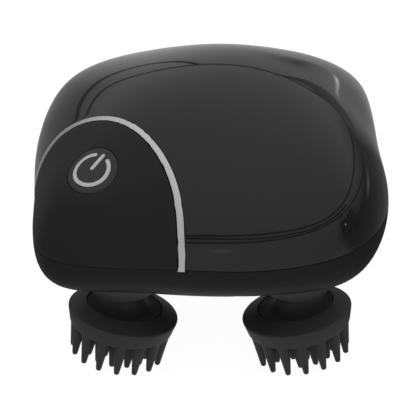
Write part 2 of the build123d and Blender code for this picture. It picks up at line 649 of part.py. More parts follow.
# ---------------------------------------------------------------- gears and gearbox
def make_gears():
    low, high = LOW_GEARS
    drive_phase = 0.0
    transfer_phase = mesh_phase(0.0, drive_phase, TRANSFER_TEETH, TRANSFER_TEETH)
    bore = AXLE_RADIUS + RUNNING_GAP
    drive = gear_blank(HEAD_MODULE, TRANSFER_TEETH, low, high, drive_phase)
    drive = drive + disc(BUSH_RADIUS + 2.0, high, MIDDLE_GEARS[0])
    drive = drive + gear_blank(MIDDLE_MODULE, DRIVE_WHEEL_TEETH, *MIDDLE_GEARS, 0.0)
    NODES["drive_gear"] = Pos(*DRIVE_AXIS) * (drive - disc(bore, 0.0, TOP_HEIGHT))
    transfer = gear_blank(HEAD_MODULE, TRANSFER_TEETH, low, high, transfer_phase)
    web = ring(TRANSFER_X - 3.6, AXLE_RADIUS + 3.5, high - 1.4, high + 1.0)
    NODES["transfer_gear"] = Pos(*TRANSFER_AXIS) * (transfer - web - disc(bore, 0.0, TOP_HEIGHT))

    line = line_angle(DRIVE_AXIS, REDUCTION_AXIS)
    pinion_phase = mesh_phase(line, 0.0, DRIVE_WHEEL_TEETH, REDUCTION_PINION_TEETH)
    reduction = gear_blank(MIDDLE_MODULE, REDUCTION_PINION_TEETH, *MIDDLE_GEARS, pinion_phase)
    root = MIDDLE_MODULE * (REDUCTION_PINION_TEETH / 2 - DEDENDUM)
    reduction = reduction + disc(root, MIDDLE_GEARS[1] - 0.5, HIGH_GEARS[0] + 0.5)
    reduction = reduction + gear_blank(MOTOR_MODULE, REDUCTION_WHEEL_TEETH, *HIGH_GEARS, 0.0)
    NODES["reduction_gear"] = Pos(*REDUCTION_AXIS) * (reduction - disc(bore, 0.0, TOP_HEIGHT))

    line = line_angle(REDUCTION_AXIS, MOTOR_AXIS)
    motor_phase = mesh_phase(line, 0.0, REDUCTION_WHEEL_TEETH, MOTOR_PINION_TEETH)
    pinion = gear_blank(MOTOR_MODULE, MOTOR_PINION_TEETH, *HIGH_GEARS, motor_phase)
    pinion = pinion - disc(MOTOR_SHAFT_RADIUS + PART_GAP, 0.0, TOP_HEIGHT)
    NODES["motor_pinion"] = Pos(*MOTOR_AXIS) * pinion
    shaft_top = PLATE[1] + MOTOR_HEIGHT * 0.8
    NODES["motor_shaft"] = disc(MOTOR_SHAFT_RADIUS, HIGH_GEARS[0] - 0.6, shaft_top, *MOTOR_AXIS)

    for key, axis in HEAD_AXES.items():
        source, phase = (DRIVE_AXIS, drive_phase) if axis[0] < 0 else (TRANSFER_AXIS, transfer_phase)
        line = line_angle(source, axis)
        own = mesh_phase(line, phase, TRANSFER_TEETH, HEAD_TEETH)
        wheel = gear_blank(HEAD_MODULE, HEAD_TEETH, low, high, own)
        NODES["head_gear_" + key] = Pos(*axis) * (wheel - disc(SPINDLE_RADIUS + PART_GAP, 0.0, TOP_HEIGHT))


def make_gearbox():
    plate = disc(PLATE_RADIUS, *PLATE)
    for x, y in HEAD_AXES.values():
        plate = plate - disc(UPPER_BUSH_RADIUS + PART_GAP, 0.0, TOP_HEIGHT, x, y)
    for x, y in PLATE_POSTS:
        plate = plate - disc(SCREW_SHANK_RADIUS + 2 * PART_GAP, 0.0, TOP_HEIGHT, x, y)
    for axis in (DRIVE_AXIS, REDUCTION_AXIS):
        plate = plate - disc(AXLE_RADIUS, 0.0, TOP_HEIGHT, *axis)
    plate = plate - disc(MOTOR_NOSE_RADIUS + PART_GAP, 0.0, TOP_HEIGHT, *MOTOR_AXIS)
    for x, y in bracket_points():
        plate = plate - disc(SMALL_SCREW_RADIUS + PART_GAP, 0.0, TOP_HEIGHT, x, y)
    for x, y in board_points():
        plate = plate + disc(2.0, PLATE[1], PLATE[1] + BOARD_LIFT, x, y)
        plate = plate - disc(SMALL_SCREW_RADIUS + PART_GAP, PLATE[0] + 0.6, TOP_HEIGHT, x, y)
    NODES["gearbox_plate"] = plate
    screws = [screw_down(PLATE_SCREW_BITE + PLATE[1] - PLATE[0], PLATE[1], x, y) for x, y in PLATE_POSTS]
    NODES["gearbox_screws"] = group(screws)

    gap = PART_GAP
    drive_pin = disc(AXLE_RADIUS - gap, AXLE_FOOT + gap, PLATE[1], *DRIVE_AXIS)
    transfer_pin = disc(AXLE_RADIUS - gap, AXLE_FOOT + gap, LOW_GEARS[1] + 0.9, *TRANSFER_AXIS)
    reduction_pin = disc(AXLE_RADIUS - gap, MIDDLE_GEARS[0] - 0.7, PLATE[1], *REDUCTION_AXIS)
    NODES["gear_axles"] = group([drive_pin, transfer_pin, reduction_pin])
    thick = WASHER_THICKNESS
    low_of_pinion = MIDDLE_GEARS[0] - GEAR_FACE_GAP / 2
    rings = [
        ring(WASHER_RADIUS, AXLE_RADIUS, LOW_GEARS[1] + 0.2, LOW_GEARS[1] + 0.2 + thick, *TRANSFER_AXIS),
        ring(WASHER_RADIUS, AXLE_RADIUS, low_of_pinion - thick, low_of_pinion, *REDUCTION_AXIS),
    ]
    NODES["axle_washers"] = group(rings)


def bracket_points():
    points = []
    for side in (0.0, 180.0):
        x, y = polar(BRACKET_EAR, BRACKET_TURN + side)
        points.append((MOTOR_AXIS[0] + x, MOTOR_AXIS[1] + y))
    return points


def board_points():
    x, y = BOARD_CENTRE
    inset = 2.6
    return [
        (x + side * (BOARD[0] / 2 - inset), y + side * (BOARD[1] / 2 - inset)) for side in (-1, 1)
    ]


def make_motor():
    seat = PLATE[1]
    can = disc(MOTOR_RADIUS, seat, seat + MOTOR_HEIGHT)
    can = chamfer(can.edges().filter_by(GeomType.CIRCLE), 0.6)
    can = can + disc(MOTOR_NOSE_RADIUS, seat - 1.6, seat + 0.5)
    can = can + disc(MOTOR_NOSE_RADIUS, seat + MOTOR_HEIGHT - 0.5, seat + MOTOR_HEIGHT + 1.0)
    can = can - disc(MOTOR_SHAFT_RADIUS + RUNNING_GAP, 0.0, seat + MOTOR_HEIGHT * 0.8 + 0.3)
    NODES["motor_can"] = Pos(*MOTOR_AXIS) * can
    inside = MOTOR_RADIUS + PART_GAP
    bracket = disc(inside + BRACKET_WALL, seat, seat + BRACKET_HEIGHT)
    for side in (0.0, 180.0):
        x, y = polar(BRACKET_EAR, BRACKET_TURN + side)
        ear = disc(3.0, seat, seat + 2.0, x, y)
        arm = Rot(0, 0, BRACKET_TURN + side) * slab(BRACKET_EAR, 6.0, seat, seat + 2.0, BRACKET_EAR / 2)
        bracket = bracket + ear + arm
    bracket = bracket - disc(inside, 0.0, TOP_HEIGHT)
    bracket = Pos(*MOTOR_AXIS) * bracket
    for x, y in bracket_points():
        bracket = bracket - disc(SMALL_SCREW_RADIUS + PART_GAP, 0.0, TOP_HEIGHT, x, y)
    NODES["motor_bracket"] = bracket
    screws = []
    for x, y in bracket_points():
        screws.append(
            disc(SMALL_HEAD_RADIUS, seat + 2.0, seat + 2.0 + SMALL_HEAD_HEIGHT, x, y)
            + disc(SMALL_SCREW_RADIUS, PLATE[0] + 0.3, seat + 2.0, x, y)
        )
    NODES["motor_screws"] = group(screws)


def make_electrics():
    x, y = CELL_CENTRE
    seat = PLATE[1]
    axis_height = seat + CRADLE_FLOOR + CELL_RADIUS
    along = Plane((x, y, axis_height), x_dir=(1, 0, 0), z_dir=(0, 1, 0))
    centred = lambda radius, length: along * Cylinder(radius, length)
    cell = centred(CELL_RADIUS, CELL_LENGTH)
    cell = cell + along * (Pos(0, 0, CELL_LENGTH / 2) * Cylinder(2.8, 1.6))
    NODES["battery_cell"] = cell
    cradle = slab(2 * CELL_RADIUS - 4.0, CELL_LENGTH - 6.0, seat, seat + CRADLE_FLOOR, x, y)
    for side in (-1, 0, 1):
        rib_y = y + side * (CELL_LENGTH / 2 - 6.0)
        cradle = cradle + slab(2 * CELL_RADIUS + 2.4, CRADLE_RIB, seat, axis_height - 2.0, x, rib_y)
    NODES["battery_cradle"] = cradle - centred(CELL_RADIUS + PART_GAP, 2 * CELL_LENGTH)

    length, width, thick = BOARD
    low = seat + BOARD_LIFT
    board = slab(length, width, low, low + thick, *BOARD_CENTRE)
    for bx, by in board_points():
        board = board - disc(SMALL_SCREW_RADIUS + PART_GAP, 0.0, TOP_HEIGHT, bx, by)
    NODES["circuit_board"] = board
    top = low + thick + PART_GAP
    bx, by = BOARD_CENTRE
    NODES["board_components"] = group([
        slab(6.0, 6.0, top, top + 1.2, bx - 1.0, by + 2.0),
        slab(5.0, 4.0, top, top + 1.6, bx + 2.0, by - 8.0),
        disc(2.6, top, top + 5.0, bx + 3.5, by + 9.0),
        slab(5.0, 7.5, top, top + 4.6, bx - 3.0, by + 11.5),
    ])
    screws = []
    seats = [(*point, low + thick) for point in board_points()]
    seats += [(*point, CHARGE_TOP) for point in CHARGE_POSTS]
    for px, py, level in seats:
        screws.append(
            disc(SMALL_HEAD_RADIUS, level, level + SMALL_HEAD_HEIGHT, px, py)
            + disc(SMALL_SCREW_RADIUS, level - 3.6, level, px, py)
        )
    NODES["board_screws"] = group(screws)

    length, width, thick = CHARGE_BOARD
    middle_y = CHARGE_BOARD_REAR - width / 2
    charge = slab(length, width, CHARGE_BOARD_HEIGHT, CHARGE_TOP, 0.0, middle_y)
    for px, py in CHARGE_POSTS:
        charge = charge - disc(SMALL_SCREW_RADIUS + PART_GAP, 0.0, TOP_HEIGHT, px, py)
    NODES["charge_board"] = charge
    wide, deep, tall = SOCKET
    face_y = body_radius(90.0, SOCKET_LEVEL) - SOCKET_RECESS
    plane = Plane((0, face_y, SOCKET_LEVEL), x_dir=(1, 0, 0), z_dir=(0, -1, 0))
    shell = extrude(plane * RectangleRounded(wide, tall, tall / 2 - PART_GAP), deep)
    clear_wide, clear_tall = wide - 2 * SOCKET_WALL, tall - 2 * SOCKET_WALL
    opening = RectangleRounded(clear_wide, clear_tall, clear_tall / 2 - PART_GAP)
    hollow = extrude(plane * opening, deep - SOCKET_BACK)
    low, high = SOCKET_LEVEL - TONGUE[1] / 2, SOCKET_LEVEL + TONGUE[1] / 2
    tongue = slab(TONGUE[0], deep - 1.6, low, high, 0.0, face_y - deep / 2 - 0.2)
    NODES["charge_socket"] = (shell - hollow) + tongue


# ---------------------------------------------------------------- button
def make_button():
    frame = button_plane()
    face = pebble(-BUTTON_PROUD)
    cap = (frame * disc(BUTTON_RADIUS, -BUTTON_SKIRT, BUTTON_SKIRT)) & face
    flange = BUTTON_RADIUS + BUTTON_GAP + FLANGE_OVERLAP
    cap = cap + frame * disc(flange, -BUTTON_SKIRT, -BUTTON_SKIRT + BUTTON_FLANGE)
    stem_end = -BUTTON_SKIRT - STEM_LENGTH
    cap = cap + frame * disc(STEM_RADIUS, stem_end, -BUTTON_SKIRT)
    NODES["power_button"] = cap
    plunger_end = SWITCH_TOP - PLUNGER_OVERLAP
    NODES["switch_plunger"] = frame * disc(PLUNGER_RADIUS, plunger_end, stem_end - PART_GAP)
    body = slab(SWITCH_SIDE, SWITCH_SIDE, SWITCH_BOARD_TOP, SWITCH_TOP)
    well = disc(PLUNGER_RADIUS + 2 * PART_GAP, plunger_end - BUTTON_TRAVEL - 0.2, 0.0)
    NODES["tact_switch"] = frame * (body - well)
    length, width, thick = SWITCH_BOARD
    low = SWITCH_BOARD_TOP - thick
    board = slab(length, width, low, SWITCH_BOARD_TOP - PART_GAP)
    screws = []
    for side in (-1, 1):
        x = side * SWITCH_POST_OFFSET
        board = board - disc(SMALL_SCREW_RADIUS + PART_GAP, low - 1.0, 0.0, x)
        pin = disc(SMALL_HEAD_RADIUS, low - SMALL_HEAD_HEIGHT, low, x)
        screws.append(frame * (pin + disc(SMALL_SCREW_RADIUS, low, low + SWITCH_SCREW_LENGTH, x)))
    NODES["switch_board"] = frame * board
    NODES["switch_screws"] = group(screws)


def main():
    make_casings()
    make_heads()
    make_collars()
    make_gears()
    make_gearbox()
    make_motor()
    make_electrics()
    make_button()
    os.makedirs("parts", exist_ok=True)
    for name, shape in NODES.items():
        export_step(shape, "parts/" + name + ".step")
        print(name)


main()
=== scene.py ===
import bmesh
import bpy
import json
import math
from mathutils import Matrix, Vector


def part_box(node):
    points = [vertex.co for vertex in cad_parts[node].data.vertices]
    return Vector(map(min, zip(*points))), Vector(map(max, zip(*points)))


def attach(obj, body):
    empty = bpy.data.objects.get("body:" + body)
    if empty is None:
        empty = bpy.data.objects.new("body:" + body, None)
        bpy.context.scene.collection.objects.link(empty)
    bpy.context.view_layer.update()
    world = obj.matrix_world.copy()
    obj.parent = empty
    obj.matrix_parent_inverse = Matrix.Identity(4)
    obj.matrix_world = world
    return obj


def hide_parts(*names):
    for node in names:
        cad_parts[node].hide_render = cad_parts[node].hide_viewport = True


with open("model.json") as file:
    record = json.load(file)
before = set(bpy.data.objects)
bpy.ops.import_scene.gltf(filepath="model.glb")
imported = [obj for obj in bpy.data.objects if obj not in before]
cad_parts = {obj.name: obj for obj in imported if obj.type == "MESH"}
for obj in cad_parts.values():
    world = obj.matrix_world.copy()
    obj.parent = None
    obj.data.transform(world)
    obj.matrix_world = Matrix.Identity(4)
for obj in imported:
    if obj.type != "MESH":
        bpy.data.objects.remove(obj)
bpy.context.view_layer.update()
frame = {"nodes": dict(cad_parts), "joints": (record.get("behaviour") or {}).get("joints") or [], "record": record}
jointPlace = {joint["name"]: Vector(joint.get("pos_m", (0, 0, 0))) for joint in frame["joints"]}
headNames = {"front_left": "fl", "front_right": "fr", "rear_right": "rr", "rear_left": "rl"}
headMiddle = {longName: jointPlace[longName + "_head_spin"] for longName in headNames}
mm = 0.001
weldReach = 0.002 * mm
sharpAngle = math.radians(50)  # edges sharper than this are rounded
halvingSteps = 40
roundSides = 96  # sides of the large turned pieces and holes
print("frame loaded")


# small helpers for modelling

def deselect():
    if bpy.context.object and bpy.context.object.mode != "OBJECT":
        bpy.ops.object.mode_set(mode="OBJECT")
    bpy.ops.object.select_all(action="DESELECT")


def pick(piece):
    deselect()
    piece.select_set(True)
    bpy.context.view_layer.objects.active = piece


def editMesh(piece):
    # edit mode with the whole mesh selected
    pick(piece)
    bpy.ops.object.mode_set(mode="EDIT")
    bpy.ops.mesh.select_all(action="SELECT")
    return bmesh.from_edit_mesh(piece.data)


def leaveEdit():
    bpy.ops.object.mode_set(mode="OBJECT")


def modify(piece, kind, **settings):
    pick(piece)
    modifier = piece.modifiers.new(kind.lower(), kind)
    for key, value in settings.items():
        setattr(modifier, key, value)
    bpy.ops.object.modifier_apply(modifier=modifier.name)


def addObject(name, data):
    piece = bpy.data.objects.new(name, data)
    bpy.context.scene.collection.objects.link(piece)
    return piece


def copyOf(piece, name):
    twin = addObject(name, piece.data.copy())
    twin.data.name = name
    return twin


def joined(pieces, name):
    deselect()
    for piece in pieces:
        piece.select_set(True)
    bpy.context.view_layer.objects.active = pieces[0]
    bpy.ops.object.join()
    pieces[0].name = name
    return pieces[0]


def smooth(piece, angle=35):
    pick(piece)
    bpy.ops.object.shade_smooth_by_angle(angle=math.radians(angle))


def cleanSolid(piece):
    # doubled points welded and all faces outward
    editMesh(piece)
    bpy.ops.mesh.remove_doubles(threshold=weldReach)
    bpy.ops.mesh.normals_make_consistent(inside=False)
    leaveEdit()


def roundEdges(piece, width, segments=2, clamp=True):
    modify(piece, "BEVEL", width=width, segments=segments, limit_method="ANGLE",
           angle_limit=sharpAngle, use_clamp_overlap=clamp)


def boolean(piece, tool, operation="DIFFERENCE"):
    crossing = operation == "UNION"  # joined teeth may cross each other
    modify(piece, "BOOLEAN", object=tool, operation=operation, solver="EXACT", use_self=crossing)
    bpy.data.objects.remove(tool, do_unlink=True)


def finishPiece(piece, material, body, slotName, *nodes):
    piece.data.materials.clear()
    piece.data.materials.append(material)
    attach(piece, body)
    if nodes:
        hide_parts(*nodes)


def heading(turn):
    # level unit vector, turned by degrees from +X
    return Vector((math.cos(math.radians(turn)), math.sin(math.radians(turn)), 0))


def rodBetween(radius, low, high, sides=roundSides):
    middle, length = (low + high) / 2, (high - low).length
    bpy.ops.mesh.primitive_cylinder_add(vertices=sides, radius=radius, depth=length, location=middle)
    rod = bpy.context.object
    rod.rotation_mode = "QUATERNION"
    rod.rotation_quaternion = (high - low).to_track_quat("Z", "Y")
    bpy.ops.object.transform_apply(location=True, rotation=True, scale=True)
    return rod


def spun(name, profile, sides=roundSides):
    # a lathe shape: (radius, height) points turned round Z
    mesh = bpy.data.meshes.new(name)
    piece = addObject(name, mesh)
    edges = [(index, index + 1) for index in range(len(profile) - 1)]
    mesh.from_pydata([(radius, 0, height) for radius, height in profile], edges, [])
    editMesh(piece)
    bpy.ops.mesh.spin(steps=sides, angle=math.tau, center=(0, 0, 0), axis=(0, 0, 1))
    leaveEdit()
    cleanSolid(piece)
    return piece


# the finishes: two shared effects, the function that places them, and an entry for each material

def newNodes(tree, *kinds):
    return [tree.nodes.new("ShaderNode" + kind) for kind in kinds]


def newGroup(name, inputs, outputs):
    group = bpy.data.node_groups.new(name, "ShaderNodeTree")
    for label, kind, value in inputs:
        socket = group.interface.new_socket(label, in_out="INPUT", socket_type=kind)
        socket.default_value = value
    for label, kind in outputs:
        group.interface.new_socket(label, in_out="OUTPUT", socket_type=kind)
    return group, group.nodes.new("NodeGroupInput"), group.nodes.new("NodeGroupOutput")


def makeGrain():
    # fine moulded grain: a height for Bump and a roughness that drifts
    group, given, result = newGroup(
        "mouldedGrain",
        [("Scale", "NodeSocketFloat", 900.0), ("Roughness", "NodeSocketFloat", 0.5),
         ("Drift", "NodeSocketFloat", 0.1)],
        [("Height", "NodeSocketFloat"), ("Roughness", "NodeSocketFloat")],
    )
    link = group.links.new
    place, fine, broad = newNodes(group, "TexCoord", "TexNoise", "TexNoise")
    centre, spread, total = newNodes(group, "Math", "Math", "Math")
    broad.inputs["Scale"].default_value = 60.0
    broad.inputs["Detail"].default_value = 3.0
    fine.inputs["Detail"].default_value = 2.0
    link(place.outputs["Object"], fine.inputs["Vector"])
    link(place.outputs["Object"], broad.inputs["Vector"])
    link(given.outputs["Scale"], fine.inputs["Scale"])
    centre.operation = "SUBTRACT"
    centre.inputs[1].default_value = 0.5
    spread.operation = "MULTIPLY"
    link(broad.outputs["Fac"], centre.inputs[0])
    link(centre.outputs[0], spread.inputs[0])
    link(given.outputs["Drift"], spread.inputs[1])
    link(spread.outputs[0], total.inputs[0])
    link(given.outputs["Roughness"], total.inputs[1])
    link(fine.outputs["Fac"], result.inputs["Height"])
    link(total.outputs[0], result.inputs["Roughness"])
    return group


def makeTone():
    # broad uneven tone between two colours
    group, given, result = newGroup(
        "unevenTone",
        [("Scale", "NodeSocketFloat", 40.0), ("Dark", "NodeSocketColor", (0, 0, 0, 1)),
         ("Light", "NodeSocketColor", (1, 1, 1, 1))],
        [("Color", "NodeSocketColor")],
    )
    link = group.links.new
    place, noise, mix = newNodes(group, "TexCoord", "TexNoise", "Mix")
    mix.data_type = "RGBA"
    noise.inputs["Detail"].default_value = 4.0
    link(place.outputs["Object"], noise.inputs["Vector"])
    link(given.outputs["Scale"], noise.inputs["Scale"])
    link(noise.outputs["Fac"], mix.inputs["Factor"])
    link(given.outputs["Dark"], mix.inputs["A"])
    link(given.outputs["Light"], mix.inputs["B"])
    link(mix.outputs["Result"], result.inputs["Color"])
    return group


grainGroup, toneGroup = makeGrain(), makeTone()


def finish(name, dark, light, roughness, grain=900.0, bump=0.05, drift=0.1, metallic=0.0, **shader):
    # dark and light are the ends of the uneven tone; shader holds further sockets by name
    material = bpy.data.materials.new(name)
    material.use_nodes = True
    tree = material.node_tree
    bsdf = tree.nodes["Principled BSDF"]
    tone, surface, relief = newNodes(tree, "Group", "Group", "Bump")
    tone.node_tree, surface.node_tree = toneGroup, grainGroup
    tone.inputs["Dark"].default_value = (*dark, 1)
    tone.inputs["Light"].default_value = (*light, 1)
    surface.inputs["Scale"].default_value = grain
    surface.inputs["Roughness"].default_value = roughness
    surface.inputs["Drift"].default_value = drift
    relief.inputs["Strength"].default_value = bump
    relief.inputs["Distance"].default_value = 0.1 * mm
    bsdf.inputs["Metallic"].default_value = metallic
    for key, value in shader.items():
        bsdf.inputs[key.replace("_", " ")].default_value = value
    tree.links.new(tone.outputs["Color"], bsdf.inputs["Base Color"])
    tree.links.new(surface.outputs["Roughness"], bsdf.inputs["Roughness"])
    tree.links.new(surface.outputs["Height"], relief.inputs["Height"])
    tree.links.new(relief.outputs["Normal"], bsdf.inputs["Normal"])
    return material


def grey(value):
    return (value, value, value * 1.02)


slotFinish = {
    "gloss_shell": finish("pianoBlack", grey(0.004), grey(0.006), 0.05, grain=120, bump=0.006, drift=0.02),
    "satin_shell": finish("mattBlack", grey(0.0075), grey(0.010), 0.52, grain=2600, bump=0.12, drift=0.08,
                          Specular_IOR_Level=0.3),
    "satin_trim": finish("satinSilver", (0.62, 0.62, 0.62), (0.7, 0.7, 0.705), 0.38, grain=1800,
                         metallic=1.0),
    "button_face": finish("buttonGrey", grey(0.02), grey(0.025), 0.55, grain=3200, bump=0.15),
    "collar_grey": finish("collarGrey", grey(0.05), grey(0.06), 0.42, grain=2000, bump=0.06),
    "silicone_black": finish("siliconeBlack", grey(0.029), grey(0.036), 0.58, grain=1500, bump=0.06,
                             drift=0.15),
    "carrier_plastic": finish("carrierBlack", grey(0.03), grey(0.036), 0.55, grain=1800, bump=0.06,
                              Specular_IOR_Level=0.3),
    "seal_rubber": finish("sealRubber", grey(0.01), grey(0.014), 0.7, grain=1200),
    "steel": finish("groundSteel", (0.42, 0.42, 0.43), (0.55, 0.55, 0.56), 0.3, grain=2500, metallic=1.0),
    "gear_acetal": finish("gearAcetal", (0.66, 0.65, 0.6), (0.74, 0.73, 0.68), 0.38, grain=700),
    "frame_plastic": finish("frameGrey", grey(0.07), grey(0.09), 0.5, grain=1500),
    "brass": finish("turnedBrass", (0.55, 0.4, 0.16), (0.66, 0.5, 0.23), 0.28, metallic=1.0),
    "bronze": finish("sinteredBronze", (0.36, 0.23, 0.12), (0.48, 0.33, 0.18), 0.5, grain=3000, bump=0.2,
                     metallic=1.0),
    "cell_wrap": finish("cellFilm", (0.02, 0.08, 0.22), (0.03, 0.1, 0.27), 0.25),
    "board_green": finish("boardGreen", (0.01, 0.09, 0.035), (0.015, 0.12, 0.05), 0.35, grain=800),
    "component_black": finish("componentBlack", grey(0.015), grey(0.022), 0.45),
}
bowlBlack = finish("bowlBlack", grey(0.0075), grey(0.010), 0.52, grain=2600, bump=0.12, drift=0.08,
                   Specular_IOR_Level=0.25)
blackSteel = finish("blackSteel", grey(0.02), grey(0.03), 0.45, grain=2500)
printGrey = finish("printGrey", grey(0.6), grey(0.65), 0.5, grain=1500, bump=0.03)
slotOf = {part["node"]: part["material_slot"] for part in frame["record"]["subparts"]}
blackSpindles = ["spindle_" + shortName for shortName in headNames.values()]
for nodeName, cadPiece in frame["nodes"].items():
    cadPiece.data.materials.clear()
    blackened = nodeName in blackSpindles
    cadPiece.data.materials.append(blackSteel if blackened else slotFinish[slotOf[nodeName]])
print("finishes made")


# the pebble form that all outer shells share

bodyForm = {
    "halfWidth": 55.45 * mm,
    "top": 88.7 * mm,
    "equator": 48.8 * mm,
    "underside": 32 * mm,
    "poleDrop": 19.85 * mm,
    "seam": 48.8 * mm,
    "bellyPower": 2.64,
    "crownCurve": 0.512,  # steepness of the crown about its top
    "crownCurveDiagonal": -0.13,  # change of it along the button diagonal
    "crownSquaring": 0.853,
    "bellySquaring": 0.93,
    "lobes": 0.009,  # small waves of the plan outline
    "diagonal": -0.004,
    "widening": 0.006,
    "buttonAngle": -135,
    "squareness": (0.90, 0.58, 0.985, 0.866),  # corners front left, front right, rear right, rear left
    "shoulderPower": (1.40, 1.47, 1.98, 2.14),
    "shoulderSwell": (0.25, -0.26, 0.20, -0.42),
    "archReach": 44.4 * mm,
    "archLean": 0.335,
    # the arch bows in at its foot and out above: amount, height, spread
    "archBow": (0.62 * mm, 50 * mm, 8.5 * mm),
    # fuller corner round the button: amount, height, spread up and down, spread sideways
    "cornerSwell": (3 * mm, 68 * mm, 7 * mm, 14 * mm),
    "creaseDepth": 1.3 * mm,
    "creaseWidth": 12 * mm,
    "creaseAside": 3 * mm,  # its middle lies this far to the button side of the strip
    "steps": 192,
    "cornerCrowding": 5.7,  # degrees that ring points move towards the corners
    "profileAngle": 20,  # the side profile along which the rings are spaced
    "profileSteps": 600,
    "shareSteps": 8,  # rounds that settle the crown's reach
    "wall": 2.2 * mm,
}


def atCorners(name, angle):
    # smooth blend of the four corner values in this direction
    first, second, third, fourth = bodyForm[name]
    turn = math.radians(angle - bodyForm["buttonAngle"])
    blend = (first + second + third + fourth) / 4
    blend += (first - third) / 2 * math.cos(turn) + (second - fourth) / 2 * math.sin(turn)
    return blend + (first - second + third - fourth) / 4 * math.cos(2 * turn)


def crownShare(angle, level):
    # squared reach of the crown: 1 at the equator, 0 at the top
    power, swell = atCorners("shoulderPower", angle), atCorners("shoulderSwell", angle)
    along = math.cos(2 * math.radians(angle - bodyForm["buttonAngle"]))
    slope = power * (bodyForm["crownCurve"] + bodyForm["crownCurveDiagonal"] * along)
    goal = 1 - level ** power
    share = goal
    for _ in range(bodyForm["shareSteps"]):
        value = slope * share + (1 - slope + swell) * share ** 2 - swell * share ** 3
        share += (goal - value) / (slope + 2 * (1 - slope + swell) * share - 3 * swell * share ** 2)
    return max(0, share)


def archBow(height):
    amount, middle, spread = bodyForm["archBow"]
    level = (height - middle) / spread
    return amount * level * math.exp((1 - level ** 2) / 2)


def archReach(height):
    return bodyForm["archReach"] - bodyForm["archLean"] * (height - bodyForm["seam"]) + archBow(height)


def bodyReach(angle, height, inset=0.0):
    # distance of the skin from the Z axis; angle in degrees
    turn = math.radians(angle)
    square, equator = atCorners("squareness", angle), bodyForm["equator"]
    if height > equator:
        share = crownShare(angle, min(1, (height - equator) / (bodyForm["top"] - equator - inset)))
        reach = math.sqrt(share)
        square *= share * (1 + bodyForm["crownSquaring"] * (1 - share))
    else:
        level = min(1, (equator - height) / (bodyForm["poleDrop"] - inset))
        share = 1
        reach = (1 - level ** bodyForm["bellyPower"]) ** (1 / bodyForm["bellyPower"])
        square = 1 - (1 - square) * (1 - bodyForm["bellySquaring"] * level)
    reach *= math.sqrt(2 / (1 + math.sqrt(1 - square * math.sin(2 * turn) ** 2)))
    wave = bodyForm["lobes"] * math.cos(4 * turn) + bodyForm["widening"] * math.cos(2 * turn)
    wave += bodyForm["diagonal"] * math.cos(2 * math.radians(angle - bodyForm["buttonAngle"]))
    reach *= (bodyForm["halfWidth"] - inset) * (1 + share * wave)
    across = abs(math.cos(turn) + math.sin(turn)) * reach / math.sqrt(2)
    fromArch = (across - archReach(height) - bodyForm["creaseAside"]) / bodyForm["creaseWidth"]
    amount, middle, tall, wide = bodyForm["cornerSwell"]
    aside = math.remainder(math.radians(angle - bodyForm["buttonAngle"]), math.tau) * reach / wide
    reach += amount * math.exp(-((height - middle) / tall) ** 2 - aside ** 2)
    return reach - bodyForm["creaseDepth"] * math.exp(-fromArch ** 2)


def evenLevels(start, end, count):
    # heights spaced evenly along the side profile
    fine = bodyForm["profileSteps"]
    turns = [math.pi / 2 * index / fine for index in range(fine + 1)]
    heights = [start + (end - start) * math.sin(turn) for turn in turns]
    points = [(bodyReach(bodyForm["profileAngle"], height), height) for height in heights]
    lengths = [0]
    for (r0, z0), (r1, z1) in zip(points, points[1:]):
        lengths.append(lengths[-1] + math.hypot(r1 - r0, z1 - z0))
    levels, index = [], 0
    for step in range(count + 1):
        goal = lengths[-1] * step / count
        while index < fine - 1 and lengths[index + 1] < goal:
            index += 1
        share = (goal - lengths[index]) / max(lengths[index + 1] - lengths[index], 1e-12)
        levels.append(heights[index] + (heights[index + 1] - heights[index]) * share)
    return levels


def placeRing(skin, height, inset, shrink=1.0):
    # the selected points are set on the form at this height
    mesh = bmesh.from_edit_mesh(skin.data)
    for vert in mesh.verts:
        if vert.select:
            angle = math.degrees(math.atan2(vert.co.y, vert.co.x))
            reach = bodyReach(angle, height, inset) * shrink
            vert.co = (reach * math.cos(math.radians(angle)), reach * math.sin(math.radians(angle)), height)


def addRing(skin, height, inset, shrink=1.0):
    bpy.ops.mesh.extrude_region_move(TRANSFORM_OT_translate={"value": (0, 0, 0)})
    placeRing(skin, height, inset, shrink)


def formSkin(name, levels, inset=0.0, flatRings=()):
    # a ring of points, extruded level by level and set on the form
    bpy.ops.mesh.primitive_circle_add(vertices=bodyForm["steps"], radius=bodyForm["halfWidth"])
    skin = bpy.context.object
    skin.name = name
    mesh = editMesh(skin)
    for vert in mesh.verts:
        angle = math.atan2(vert.co.y, vert.co.x)
        angle += math.radians(bodyForm["cornerCrowding"]) * math.sin(4 * angle)
        vert.co = (math.cos(angle), math.sin(angle), 0)
    placeRing(skin, levels[0], inset)
    for height in levels[1:-1]:
        addRing(skin, height, inset)
    for share in (*flatRings, 0):  # the last ring closes to a point
        addRing(skin, levels[-1], inset, share)
    bpy.ops.mesh.remove_doubles(threshold=weldReach)
    leaveEdit()
    return skin


def turnOutward(piece):
    # outward is away from the middle of the body
    editMesh(piece)
    bpy.ops.mesh.normals_make_consistent(inside=False)
    middle, side = Vector((0, 0, bodyForm["equator"])), 0
    for face in bmesh.from_edit_mesh(piece.data).faces:
        side += face.normal.dot(face.calc_center_median() - middle) * face.calc_area()
    if side < 0:
        bpy.ops.mesh.flip_normals()
    leaveEdit()


def archPlane(offset):
    # plane parallel to the arch; offset is outward, to the button side
    outward = heading(bodyForm["buttonAngle"])
    normal = Vector((outward.x, outward.y, bodyForm["archLean"])).normalized()
    point = outward * bodyForm["archReach"] + Vector((0, 0, bodyForm["seam"]))
    return point + normal * offset, normal


